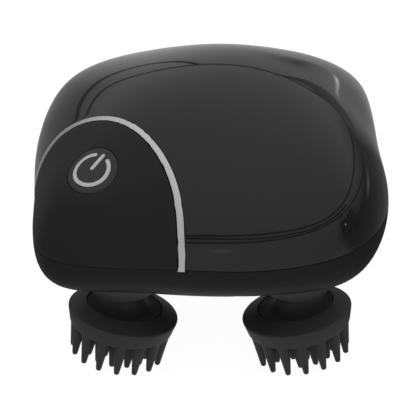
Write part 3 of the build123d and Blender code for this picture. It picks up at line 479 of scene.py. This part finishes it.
def cutAt(piece, plane, keepButtonSide):
    # the bow of the arch is taken out for a straight cut and put back after it
    point, normal = plane
    outward = Vector((normal.x, normal.y, 0)).normalized()
    for vert in editMesh(piece).verts:
        vert.co -= outward * archBow(vert.co.z)
    bpy.ops.mesh.bisect(plane_co=point, plane_no=normal, clear_inner=keepButtonSide,
                        clear_outer=not keepButtonSide)
    for vert in bmesh.from_edit_mesh(piece.data).verts:
        vert.co += outward * archBow(vert.co.z)
    leaveEdit()


def cleanRim(piece, reach=0.5 * mm):
    # points that crowd the cut rim are welded onto it
    mesh = editMesh(piece)
    targets = {}
    for edge in mesh.edges:
        first, second = edge.verts
        if first.is_boundary != second.is_boundary and edge.calc_length() < reach:
            inner, outer = (second, first) if first.is_boundary else (first, second)
            targets[inner] = outer
    bmesh.ops.weld_verts(mesh, targetmap=targets)
    bmesh.ops.dissolve_degenerate(mesh, edges=mesh.edges, dist=0.01 * mm)
    bmesh.update_edit_mesh(piece.data)
    leaveEdit()


def shell(piece, wall, edge, clamp=True):
    turnOutward(piece)
    modify(piece, "SOLIDIFY", thickness=wall, offset=-1, use_even_offset=True)
    if edge:
        roundEdges(piece, edge, clamp=clamp)


# crown: glossy cover, matt corner panel and the silver strip between them

crown = {
    "rings": 44,
    "seamGap": 0.06 * mm,
    "edge": 0.18 * mm,
    "coverEdge": 0.35 * mm,
    "trimHalf": 0.62 * mm,
    "trimGap": 0.12 * mm,
    "trimProud": 0.12 * mm,
    "trimEdge": 0.12 * mm,
    "trimFoot": 0.45 * mm,  # below the seam
    "trimWeld": 0.3 * mm,
}

crownLevels = evenLevels(bodyForm["seam"] + crown["seamGap"], bodyForm["top"], crown["rings"])
dome = formSkin("top_cover_dressed", crownLevels)
cornerPanel = copyOf(dome, "corner_panel_dressed")
cutAt(dome, archPlane(-crown["trimHalf"] - crown["trimGap"]), False)
cleanRim(dome)
shell(dome, bodyForm["wall"], crown["coverEdge"], clamp=False)  # clamped, its width varies by run
smooth(dome)
modify(dome, "WEIGHTED_NORMAL", keep_sharp=True)  # clean reflections up to the rim
finishPiece(dome, slotFinish["gloss_shell"], "body_shell", "gloss_shell", "top_cover")

cutAt(cornerPanel, archPlane(crown["trimHalf"] + crown["trimGap"]), True)
cleanRim(cornerPanel)
shell(cornerPanel, bodyForm["wall"], 0)

proudTop = bodyForm["top"] + crown["trimProud"]
proudLevels = evenLevels(bodyForm["seam"] - crown["trimFoot"], proudTop, crown["rings"])
trimStrip = formSkin("trim_strip_dressed", proudLevels, -crown["trimProud"])
cutAt(trimStrip, archPlane(-crown["trimHalf"]), True)
cutAt(trimStrip, archPlane(crown["trimHalf"]), False)
cleanRim(trimStrip, crown["trimWeld"])
shell(trimStrip, bodyForm["wall"] + crown["trimProud"], crown["trimEdge"])
smooth(trimStrip)
finishPiece(trimStrip, slotFinish["satin_trim"], "body_shell", "satin_trim", "trim_strip")
print("crown made")


# power button on its slanted place, with the ring and bar sign

button = {
    "reach": 49.8 * mm,  # from the Z axis to the middle of its face
    "radius": 8.05 * mm,
    "gap": 0.2 * mm,
    "proud": 0.1 * mm,
    "sides": 64,
    "rings": 9,
    "edge": 0.3 * mm,
    "skirt": 5.6 * mm,
    "above": 6 * mm,  # how far past the skin its hole is cut
    "slopeStep": 0.5 * mm,
    "signRadius": 5.4 * mm,
    "signWidth": 1.2 * mm,
    "signGap": 27,
    "signStep": 5,
    "barLow": 0.4 * mm,
    "barHigh": 5.6 * mm,
    "barSteps": 8,
    "printProud": 0.03 * mm,
}
buttonAngle = bodyForm["buttonAngle"]


def buttonFrame():
    # X across, Y up the slope and Z out of the skin, where the skin has the button's reach
    low, high = bodyForm["equator"], bodyForm["top"]
    for _ in range(halvingSteps):
        middle = (low + high) / 2
        if bodyReach(buttonAngle, middle) > button["reach"]:
            low = middle
        else:
            high = middle
    step = button["slopeStep"]
    slope = (bodyReach(buttonAngle, low + step) - bodyReach(buttonAngle, low - step)) / (2 * step)
    outward = heading(buttonAngle)
    across = Vector((-outward.y, outward.x, 0))
    normal = Vector((outward.x, outward.y, -slope)).normalized()
    upward = normal.cross(across)
    place = Matrix((across, upward, normal)).transposed().to_4x4()
    place.translation = outward * button["reach"] + Vector((0, 0, low))
    return place


buttonPlace = buttonFrame()


def skinDepth(x, y, inset):
    # height of the skin above the button's own plane, at (x, y) on that plane
    low, high = -button["skirt"], button["above"]
    for _ in range(halvingSteps):
        middle = (low + high) / 2
        point = buttonPlace @ Vector((x, y, middle))
        angle = math.degrees(math.atan2(point.y, point.x))
        if math.hypot(point.x, point.y) < bodyReach(angle, point.z, inset):
            low = middle
        else:
            high = middle
    return (low + high) / 2


holeLow, holeHigh = (buttonPlace @ Vector((0, 0, z)) for z in (-button["skirt"], button["above"]))
boolean(cornerPanel, rodBetween(button["radius"] + button["gap"], holeLow, holeHigh))
roundEdges(cornerPanel, crown["edge"])
smooth(cornerPanel)
finishPiece(cornerPanel, slotFinish["satin_shell"], "body_shell", "satin_shell", "corner_panel")

bpy.ops.mesh.primitive_circle_add(vertices=button["sides"], radius=button["radius"], fill_type="NGON")
buttonCap = bpy.context.object
editMesh(buttonCap)
ringStep = button["radius"] / (button["rings"] + 1.5)  # leaves a small middle to poke
for _ in range(button["rings"]):
    bpy.ops.mesh.inset(thickness=ringStep)
bpy.ops.mesh.poke()
mesh = bmesh.from_edit_mesh(buttonCap.data)
for vert in mesh.verts:
    vert.co.z = skinDepth(vert.co.x, vert.co.y, -button["proud"])
bpy.ops.mesh.select_all(action="DESELECT")
for edge in mesh.edges:
    if edge.is_boundary:
        edge.select_set(True)
bpy.ops.mesh.extrude_region_move(TRANSFORM_OT_translate={"value": (0, 0, 0)})
mesh = bmesh.from_edit_mesh(buttonCap.data)
for vert in mesh.verts:
    if vert.select:
        vert.co.z = -button["skirt"]
bpy.ops.mesh.edge_face_add()
leaveEdit()
roundEdges(buttonCap, button["edge"], 3)
buttonCap.data.transform(buttonPlace)
buttonCap.name = "power_button_dressed"
cleanSolid(buttonCap)
smooth(buttonCap)
finishPiece(buttonCap, slotFinish["button_face"], "power_button", "button_face", "power_button")


def roundTip(end, nextOne, width):
    # points round the end of a printed line
    outward = (end - nextOne).normalized()
    side = Vector((-outward.y, outward.x))
    leans = [math.radians(turn) for turn in (60, 30, 0, -30, -60)]
    return [end + (outward * math.cos(lean) + side * math.sin(lean)) * width / 2 for lean in leans]


def printedBand(name, centreLine, width):
    # a thin print with round ends that follows the button's face
    mesh = bpy.data.meshes.new(name)
    band = addObject(name, mesh)
    count = len(centreLine)
    points = []
    for index, point in enumerate(centreLine):
        before, after = centreLine[max(index - 1, 0)], centreLine[min(index + 1, count - 1)]
        along = (after - before).normalized()
        side = Vector((-along.y, along.x)) * width / 2
        points += [point + side, point - side]
    points += roundTip(centreLine[0], centreLine[1], width)
    points += roundTip(centreLine[-1], centreLine[-2], width)
    faces = [(2 * i, 2 * i + 1, 2 * i + 3, 2 * i + 2) for i in range(count - 1)]
    first, last = 2 * count, 2 * count + 5  # where the points of each round end begin
    faces.append((1, 0, first + 4, first + 3, first + 2, first + 1, first)[::-1])
    faces.append((2 * count - 2, 2 * count - 1, last + 4, last + 3, last + 2, last + 1, last)[::-1])
    mesh.from_pydata([(p.x, p.y, 0) for p in points], [], faces)
    editMesh(band)
    bpy.ops.mesh.normals_make_consistent(inside=False)
    mesh = bmesh.from_edit_mesh(band.data)
    for vert in mesh.verts:
        vert.co.z = skinDepth(vert.co.x, vert.co.y, -button["proud"] - button["printProud"])
    if sum(face.normal.z for face in mesh.faces) < 0:
        bpy.ops.mesh.flip_normals()
    leaveEdit()
    modify(band, "SOLIDIFY", thickness=button["printProud"] * 2, offset=-1)
    band.data.transform(buttonPlace)
    return band


ringTurns = range(button["signGap"], 361 - button["signGap"], button["signStep"])
ringLine = [Vector((math.sin(math.radians(turn)), math.cos(math.radians(turn)))) * button["signRadius"]
            for turn in ringTurns]
barRun = (button["barHigh"] - button["barLow"]) / button["barSteps"]
barLine = [Vector((0, button["barLow"] + barRun * step)) for step in range(button["barSteps"] + 1)]
powerSign = joined([printedBand("signRing", ringLine, button["signWidth"]),
                    printedBand("signBar", barLine, button["signWidth"])], "power_sign")
finishPiece(powerSign, printGrey, "power_button", "button_face")
print("button made")


# lower bowl with the openings for collars, screws and the charging socket

bowl = {
    "rings": 26,
    "flatRings": (0.86, 0.7, 0.5, 0.28),
    "edge": 0.18 * mm,
    "collarHole": 11.15 * mm,
    "holeLow": 20 * mm,
    "holeHigh": 46 * mm,
    "screwRing": 48 * mm,
    "screwAngles": (-80, 8, 72, 108, 172),
    "screwHole": 2.6 * mm,
    "screwSides": 40,
    "screwSeat": 41 * mm,
    "mouthGap": 0.5 * mm,
    "mouthRound": 1.65 * mm,
    "mouthDepth": 20 * mm,
}

bowlLevels = evenLevels(bodyForm["seam"] - crown["seamGap"], bodyForm["underside"], bowl["rings"])
bowlShell = formSkin("lower_housing_dressed", bowlLevels + [bodyForm["underside"]], 0.0, bowl["flatRings"])
shell(bowlShell, bodyForm["wall"], bowl["edge"])
for middle in headMiddle.values():
    holeLow, holeHigh = (middle + Vector((0, 0, bowl[end])) for end in ("holeLow", "holeHigh"))
    boolean(bowlShell, rodBetween(bowl["collarHole"], holeLow, holeHigh))
for turn in bowl["screwAngles"]:
    holeLow = heading(turn) * bowl["screwRing"]
    holeHigh = holeLow + Vector((0, 0, bowl["screwSeat"]))
    boolean(bowlShell, rodBetween(bowl["screwHole"], holeLow, holeHigh, bowl["screwSides"]))
socketLow, socketHigh = (Vector(corner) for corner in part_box("charge_socket"))
bpy.ops.mesh.primitive_cube_add(size=1)
mouth = bpy.context.object
wide, tall = (high - low + bowl["mouthGap"] for low, high in zip(socketLow.xz, socketHigh.xz))
mouth.data.transform(Matrix.Diagonal((wide, bowl["mouthDepth"], tall, 1)))
mouth.data.transform(Matrix.Translation((0, socketHigh.y, (socketLow.z + socketHigh.z) / 2)))
for edge in editMesh(mouth).edges:
    edge.select_set(abs(edge.verts[0].co.y - edge.verts[1].co.y) > bowl["mouthDepth"] / 2)
bpy.ops.mesh.bevel(offset=bowl["mouthRound"], segments=8)
leaveEdit()
boolean(bowlShell, mouth)
smooth(bowlShell)
finishPiece(bowlShell, bowlBlack, "body_shell", "satin_shell", "lower_housing")
print("bowl made")


# collars, turned in one profile each

collar = {
    "bottom": 26.8 * mm,
    "top": 35.2 * mm,
    "radius": 11.1 * mm,
    "taper": 0.7 * mm,
    "taperHeight": 4.2 * mm,
    "bore": 3.0 * mm,
    "round": 0.5 * mm,
}


def makeCollarProfile():
    bore, radius, rounded = collar["bore"], collar["radius"], collar["round"]
    low, high, foot = collar["bottom"], collar["top"], radius - collar["taper"]
    profile = [(bore, high), (bore, low), (foot - rounded, low)]
    profile += [(foot - rounded * 0.3, low + rounded * 0.3), (foot, low + rounded)]
    return profile + [(radius, low + collar["taperHeight"]), (radius, high), (bore, high)]


collars = []
for middle in headMiddle.values():
    ring = spun("collar", makeCollarProfile())
    ring.data.transform(Matrix.Translation(middle))
    collars.append(ring)
collarSet = joined(collars, "spindle_collars_dressed")
smooth(collarSet)
finishPiece(collarSet, slotFinish["collar_grey"], "body_shell", "collar_grey", "spindle_collars")
print("collars made")


# kneading pads: a dished cup and its teeth, then one for each head

pad = {
    "pivot": 19.78 * mm,  # height where the tilted axis meets the spindle's
    "tilt": 10.85,
    "leanFromSide": 25,  # degrees from the X axis to the way the pad faces at rest
    "rimRadius": 17.35 * mm,
    "rimDepth": 2 * mm,
    "baseRadius": 16.05 * mm,
    "sideHeight": 5.05 * mm,
    "dishRadius": 11.93 * mm,
    "dishRise": 0.29 * mm,
    "bore": 11.9 * mm,
    "boreEdge": 0.05 * mm,
    "floor": 1.3 * mm,
    "round": 0.7 * mm,
    "firstTooth": 270.5,  # degrees, as are the turns below
    "toothTurn": 1.7,
    "toothSides": 14,
    "toothRoot": 0.6 * mm,  # how far a tooth is sunk into the cup
    "toothFlare": 1.08,
    "flareHeight": 0.5 * mm,
    "tipDepth": 17.48 * mm,
    "smoothAngle": 40,
    "tipRound": ((0.85, 0.55), (0.656, 0.22), (0.336, 0.04)),  # radius and height above the tip, mm
    "rings": ((15, 13.7 * mm, 0, 2.1 * mm),  # teeth, ring radius, first turn, thickness
              (12, 9.2 * mm, 20.8, 2.35 * mm),
              (6, 4.6 * mm, 10, 2.2 * mm)),
}
carrierDisc = {
    "gap": 0.3 * mm,
    "seat": 0.05 * mm,
    "bore": 4.85 * mm,
    "edgeHeight": 0.1 * mm,
    "edgeRound": (0.12 * mm, 0.14 * mm),
    "trumpet": ((9.8, 0.34), (8.2, 0.7), (7.0, 1.3), (6.2, 2.1), (5.7, 3.0), (5.4, 3.8), (5.15, 4.1)),  # mm
}
cupBase = -(pad["rimDepth"] + pad["sideHeight"])


def roundedCorner(before, corner, after, radius, steps=4):
    # a fillet between two straight runs of a profile
    p0, p1, p2 = (Vector(p) for p in (before, corner, after))
    a, b = (p0 - p1).normalized(), (p2 - p1).normalized()
    half = a.angle(b) / 2
    start, end = p1 + a * radius / math.tan(half), p1 + b * radius / math.tan(half)
    centre = p1 + (a + b).normalized() * radius / math.sin(half)
    first, last = start - centre, end - centre
    turn = first.angle(last)
    points = []
    for step in range(steps + 1):
        share = step / steps
        arm = (first * math.sin((1 - share) * turn) + last * math.sin(share * turn)) / math.sin(turn)
        points.append(tuple(centre + arm))
    return points


def makeCup():
    centreLow, foot, rim = (0, cupBase), (pad["baseRadius"], cupBase), (pad["rimRadius"], -pad["rimDepth"])
    dish = (pad["dishRadius"], pad["dishRise"])
    profile = [centreLow]
    profile += roundedCorner(centreLow, foot, rim, pad["round"])
    profile += roundedCorner(foot, rim, dish, pad["round"])
    profile += [dish, (pad["bore"], pad["dishRise"] - pad["boreEdge"])]
    profile += [(pad["bore"], cupBase + pad["floor"]), (0, cupBase + pad["floor"])]
    return spun("cup", profile)


def makeTooth(thick):
    low, flare = -pad["tipDepth"] - cupBase, thick * pad["toothFlare"]
    profile = [(0, pad["toothRoot"]), (flare, pad["toothRoot"]), (flare, 0), (thick, -pad["flareHeight"])]
    profile += [(radius * mm, low + height * mm) for radius, height in pad["tipRound"]]
    tooth = spun("tooth", profile + [(0, low)], pad["toothSides"])
    tooth.data.transform(Matrix.Translation((0, 0, cupBase)))
    return tooth


def headPlace(middle):
    lean = math.radians(pad["leanFromSide"])
    outward = Vector((math.copysign(math.cos(lean), middle.x), math.copysign(math.sin(lean), middle.y), 0))
    axis = Vector((-outward.y, outward.x, 0))
    tilted = Matrix.Rotation(-math.radians(pad["tilt"]), 4, axis)
    return Matrix.Translation((middle.x, middle.y, pad["pivot"])) @ tilted


def headTurn(middle):
    angle = pad["toothTurn"] + (pad["firstTooth"] if middle.x < 0 else 180 - pad["firstTooth"])
    return math.radians(angle if middle.y < 0 else -angle)


def makeCarrier():
    # flush disc in the cup that rises to the neck like a trumpet
    bore, edge = carrierDisc["bore"], pad["bore"] - carrierDisc["gap"]
    low, high = cupBase + pad["floor"] + carrierDisc["seat"], carrierDisc["edgeHeight"]
    inward, upward = carrierDisc["edgeRound"]
    profile = [(bore, low), (edge, low), (edge, high), (edge - inward, high + upward)]
    profile += [(radius * mm, height * mm) for radius, height in carrierDisc["trumpet"]]
    return spun("carrier", profile + [(bore, profile[-1][1]), (bore, low)])


cup, carrier = makeCup(), makeCarrier()
teeth = []
for count, radius, first, thick in pad["rings"]:
    tooth = makeTooth(thick)
    for index in range(count):
        turn = math.radians(first + 360 * index / count)
        spike = copyOf(tooth, "spike")
        spike.data.transform(Matrix.Translation((radius * math.cos(turn), radius * math.sin(turn), 0)))
        teeth.append(spike)
    bpy.data.objects.remove(tooth, do_unlink=True)
boolean(cup, joined(teeth, "teeth"), "UNION")
for longName, shortName in headNames.items():
    middle = headMiddle[longName]
    turned = headPlace(middle) @ Matrix.Rotation(headTurn(middle), 4, "Z")
    for part, nodeName, slotName in ((cup, "silicone_pad_" + shortName, "silicone_black"),
                                     (carrier, "pad_carrier_" + shortName, "carrier_plastic")):
        piece = copyOf(part, nodeName + "_dressed")
        piece.data.transform(turned)
        smooth(piece, pad["smoothAngle"])
        finishPiece(piece, slotFinish[slotName], longName + "_head", slotName, nodeName)
for part in (carrier, cup):
    bpy.data.objects.remove(part, do_unlink=True)
print("pads made")


# studio: pale floor, soft surround, camera, and the lines and cards that only reflections see
# directions are (turn, tilt) in degrees: turn round Z from +X, tilt down from straight up

studio = {
    "floor": 8,
    "floorGlow": 0.955,
    "floorSoft": 0.2,  # the part of the floor's brightness that takes shadows
    "floorShade": 0.3,
    "zenith": 0.75,
    "walls": 0.57,
    "wallsFrom": 0.35,  # height on the unit sphere from which walls brighten to the zenith
    "lowFade": (0.08, 0.34),  # heights between which the low surround gives way to the walls
    "low": ((-180, 0.3), (-110, 0.61), (-60, 0.56), (-25, 0.47), (-15, 0.19), (52, 0.13),
            (65, 0.4), (72, 0.47), (98, 0.57), (112, 0.28), (160, 0.25)),  # turn, brightness
    "dome": 2.5,
    "domeMiddle": Vector((0, 0, 0.06)),
    "cardReach": 2.7,
    "cardStep": 0.01,  # each card stands this much before the last one
    "lineRadius": 0.024,
    "lineTone": 0.12,
    "innerLine": ((-98, 67), (-66, 66.4), (-35, 67), (-10, 67.4), (10, 69.6), (30, 73.4), (45, 79),
                  (56, 85), (60, 80), (62, 72.5), (67, 67.5), (75, 63.5), (86, 65), (94, 68.4),
                  (103, 74.4), (111, 79, 1.3), (121, 78, 1.3), (150, 78, 1.2), (190, 74, 1.2),
                  (235, 70, 1.2)),
    "middleLine": ((-110, 69.2), (-84, 69), (-60, 69), (-40, 69.2), (-20, 69.4), (0, 71.2)),
    "outerLine": ((93, 68), (95, 73), (98, 80), (102, 84.6), (107, 86, 1.5), (113, 85.2, 1.8),
                  (121, 83.8, 2), (150, 82, 2), (190, 79, 1.7), (235, 74, 1.5), (256, 71.6),
                  (-90, 71), (-72, 70.9), (-50, 71.2), (-20, 71.5), (0, 73.9), (18, 77.4),
                  (33, 82.4), (48, 88)),
    "rearBand": ((71, 64, 0.5), (67.5, 70, 1.5), (65.2, 75.2, 4), (62.3, 80.6, 6.5), (61, 85.6, 7),
                 (59.6, 90, 6), (58, 94, 3)),
    "bandTone": 0.2,
    "cards": {  # turns, tilts, strength
        "rightCard": ((-17, 50), (85, 93), 0.15),
        "cornerCard": ((-17, 4), (76, 86), 0.17),
    },
    "softCards": {  # turns, tilts, strength, and nearer than the others where a reach follows
        "frontGlow": ((-101, -89), (74, 80), 1.15),
        "backGlow": ((60, 67), (89.1, 91.1), 2.2, 0.45),
        "sideGlow": ((22, 46), (86.4, 91), 0.9),
        "spot": ((-12.5, -9.5), (79, 81.6), 7.0),
        "rearShade": ((63, 88), (70, 104), 0.15),
    },
}


def domePoint(turn, tilt, reach=studio["dome"]):
    turn, tilt = math.radians(turn), math.radians(tilt)
    aim = Vector((math.cos(turn) * math.sin(tilt), math.sin(turn) * math.sin(tilt), math.cos(tilt)))
    return studio["domeMiddle"] + aim * reach


def glowMaterial(name, strength):
    material = bpy.data.materials.new(name)
    material.use_nodes = True
    tree = material.node_tree
    tree.nodes.clear()
    glow, out = newNodes(tree, "Emission", "OutputMaterial")
    glow.inputs["Strength"].default_value = strength
    tree.links.new(glow.outputs[0], out.inputs["Surface"])
    return material


def softCardMaterial(name, strength):
    # full strength in the middle, clear at the rim
    material = glowMaterial(name, strength)
    tree = material.node_tree
    link = tree.links.new
    place, ball, mix, clear = newNodes(tree, "TexCoord", "TexGradient", "MixShader", "BsdfTransparent")
    ball.gradient_type = "QUADRATIC_SPHERE"
    link(place.outputs["UV"], ball.inputs["Vector"])
    link(ball.outputs["Fac"], mix.inputs[0])
    link(clear.outputs[0], mix.inputs[1])
    link(tree.nodes["Emission"].outputs[0], mix.inputs[2])
    link(mix.outputs[0], tree.nodes["Material Output"].inputs["Surface"])
    return material


def lowBrightness(tree, place):
    # brightness near the horizon by direction round Z, from the (turn, brightness) pairs
    around, tone = newNodes(tree, "TexGradient", "ValToRGB")
    around.gradient_type = "RADIAL"
    stops = tone.color_ramp.elements
    while len(stops) < len(studio["low"]):
        stops.new(1)
    for stop, (turn, value) in zip(stops, studio["low"]):
        stop.position = 0.5 + turn / 360
        stop.color = (value, value, value, 1)
    tree.links.new(place, around.inputs["Vector"])
    tree.links.new(around.outputs["Fac"], tone.inputs[0])
    return tone.outputs["Color"]


def floorMaterial():
    # pale to the eye with a faint shadow; reflections see the darker low surround
    material = glowMaterial("paleFloor", studio["floorGlow"])
    tree = material.node_tree
    link = tree.links.new
    glow, out = tree.nodes["Emission"], tree.nodes["Material Output"]
    seen, place, mirrored = newNodes(tree, "LightPath", "TexCoord", "Emission")
    soft, shade = newNodes(tree, "BsdfDiffuse", "BsdfDiffuse")
    both, forCamera, forMirror = newNodes(tree, "AddShader", "MixShader", "MixShader")
    soft.inputs["Color"].default_value = (studio["floorSoft"],) * 3 + (1,)
    shade.inputs["Color"].default_value = (studio["floorShade"],) * 3 + (1,)
    link(lowBrightness(tree, place.outputs["Object"]), mirrored.inputs["Strength"])
    link(soft.outputs[0], both.inputs[0])
    link(glow.outputs[0], both.inputs[1])
    link(seen.outputs["Is Glossy Ray"], forMirror.inputs[0])
    link(shade.outputs[0], forMirror.inputs[1])
    link(mirrored.outputs[0], forMirror.inputs[2])
    link(seen.outputs["Is Camera Ray"], forCamera.inputs[0])
    link(forMirror.outputs[0], forCamera.inputs[1])
    link(both.outputs[0], forCamera.inputs[2])
    link(forCamera.outputs[0], out.inputs["Surface"])
    return material


def surroundWorld():
    # brighter overhead and darker low down; the camera sees a plain backdrop
    world = bpy.data.worlds.new("studio")
    world.use_nodes = True
    tree = world.node_tree
    link = tree.links.new
    light, out = tree.nodes["Background"], tree.nodes["World Output"]
    place, split, blend = newNodes(tree, "TexCoord", "SeparateXYZ", "Mix")
    height, rise = newNodes(tree, "MapRange", "MapRange")
    seen, pale, both = newNodes(tree, "LightPath", "Background", "MixShader")
    height.inputs["From Min"].default_value = studio["wallsFrom"]
    height.inputs["To Min"].default_value = studio["walls"]
    height.inputs["To Max"].default_value = studio["zenith"]
    rise.inputs["From Min"].default_value = studio["lowFade"][0]
    rise.inputs["From Max"].default_value = studio["lowFade"][1]
    pale.inputs["Color"].default_value = (1, 1, 1, 1)
    light.inputs["Color"].default_value = (1, 1, 1, 1)
    link(place.outputs["Generated"], split.inputs[0])
    link(split.outputs["Z"], height.inputs["Value"])
    link(split.outputs["Z"], rise.inputs["Value"])
    link(rise.outputs["Result"], blend.inputs["Factor"])
    link(lowBrightness(tree, place.outputs["Generated"]), blend.inputs["A"])
    link(height.outputs["Result"], blend.inputs["B"])
    link(blend.outputs["Result"], light.inputs["Strength"])
    link(seen.outputs["Is Camera Ray"], both.inputs[0])
    link(light.outputs[0], both.inputs[1])
    link(pale.outputs[0], both.inputs[2])
    link(both.outputs[0], out.inputs["Surface"])
    return world


def onlyMirrored(piece, material):
    piece.data.materials.append(material)
    for ray in ("camera", "shadow", "diffuse"):
        setattr(piece, "visible_" + ray, False)


def darkLine(name, directions, closed, material):
    # a tube on the dome through these directions; a third number makes it thicker there
    curve = bpy.data.curves.new(name, "CURVE")
    curve.dimensions = "3D"
    curve.bevel_depth = studio["lineRadius"]
    run = curve.splines.new("NURBS")
    run.points.add(len(directions) - 1)
    for point, (turn, tilt, *thicker) in zip(run.points, directions):
        point.co = (*domePoint(turn, tilt), 1)
        point.radius = thicker[0] if thicker else 1
    run.order_u = 3
    run.use_cyclic_u = closed
    run.use_endpoint_u = not closed
    run.resolution_u = 10
    onlyMirrored(addObject(name, curve), material)


def domeCard(name, turns, tilts, reach, material):
    bpy.ops.mesh.primitive_grid_add(x_subdivisions=12, y_subdivisions=6, size=1)
    card = bpy.context.object
    card.name = name
    for corner in card.data.uv_layers.active.data:
        corner.uv = (corner.uv[0] * 2 - 1, corner.uv[1] * 2 - 1)  # 0 in the middle, for the soft cards
    for vert in editMesh(card).verts:
        turn = turns[0] + (turns[1] - turns[0]) * (vert.co.x + 0.5)
        tilt = tilts[0] + (tilts[1] - tilts[0]) * (vert.co.y + 0.5)
        vert.co = domePoint(turn, tilt, reach)
    leaveEdit()
    onlyMirrored(card, material)


deselect()
bpy.ops.mesh.primitive_plane_add(size=studio["floor"])
floor = bpy.context.object
floor.name = "floor"
floor.data.materials.append(floorMaterial())
lineMaterial = glowMaterial("lineTone", studio["lineTone"])
darkLine("innerLine", studio["innerLine"], True, lineMaterial)
darkLine("middleLine", studio["middleLine"], False, lineMaterial)
darkLine("outerLine", studio["outerLine"], False, lineMaterial)
darkLine("rearBand", studio["rearBand"], False, glowMaterial("bandTone", studio["bandTone"]))
reach = studio["cardReach"]
for cardName, (turns, tilts, strength) in studio["cards"].items():
    reach -= studio["cardStep"]
    domeCard(cardName, turns, tilts, reach, glowMaterial(cardName, strength))
for cardName, (turns, tilts, strength, *near) in studio["softCards"].items():
    reach -= studio["cardStep"]
    domeCard(cardName, turns, tilts, near[0] if near else reach, softCardMaterial(cardName, strength))
bpy.context.scene.world = surroundWorld()
bpy.context.scene.view_settings.view_transform = "Standard"

view = {"place": (0, -0.6197, 0.3948), "down": 29.91, "lens": 192.8}
cameraData = bpy.data.cameras.new("camera")
cameraData.lens = view["lens"]
cameraData.sensor_width = 36
cameraData.clip_start = 0.01
camera = addObject("camera", cameraData)
camera.location = view["place"]
camera.rotation_euler = (math.radians(90 - view["down"]), 0, 0)
bpy.context.scene.camera = camera
print("studio set")
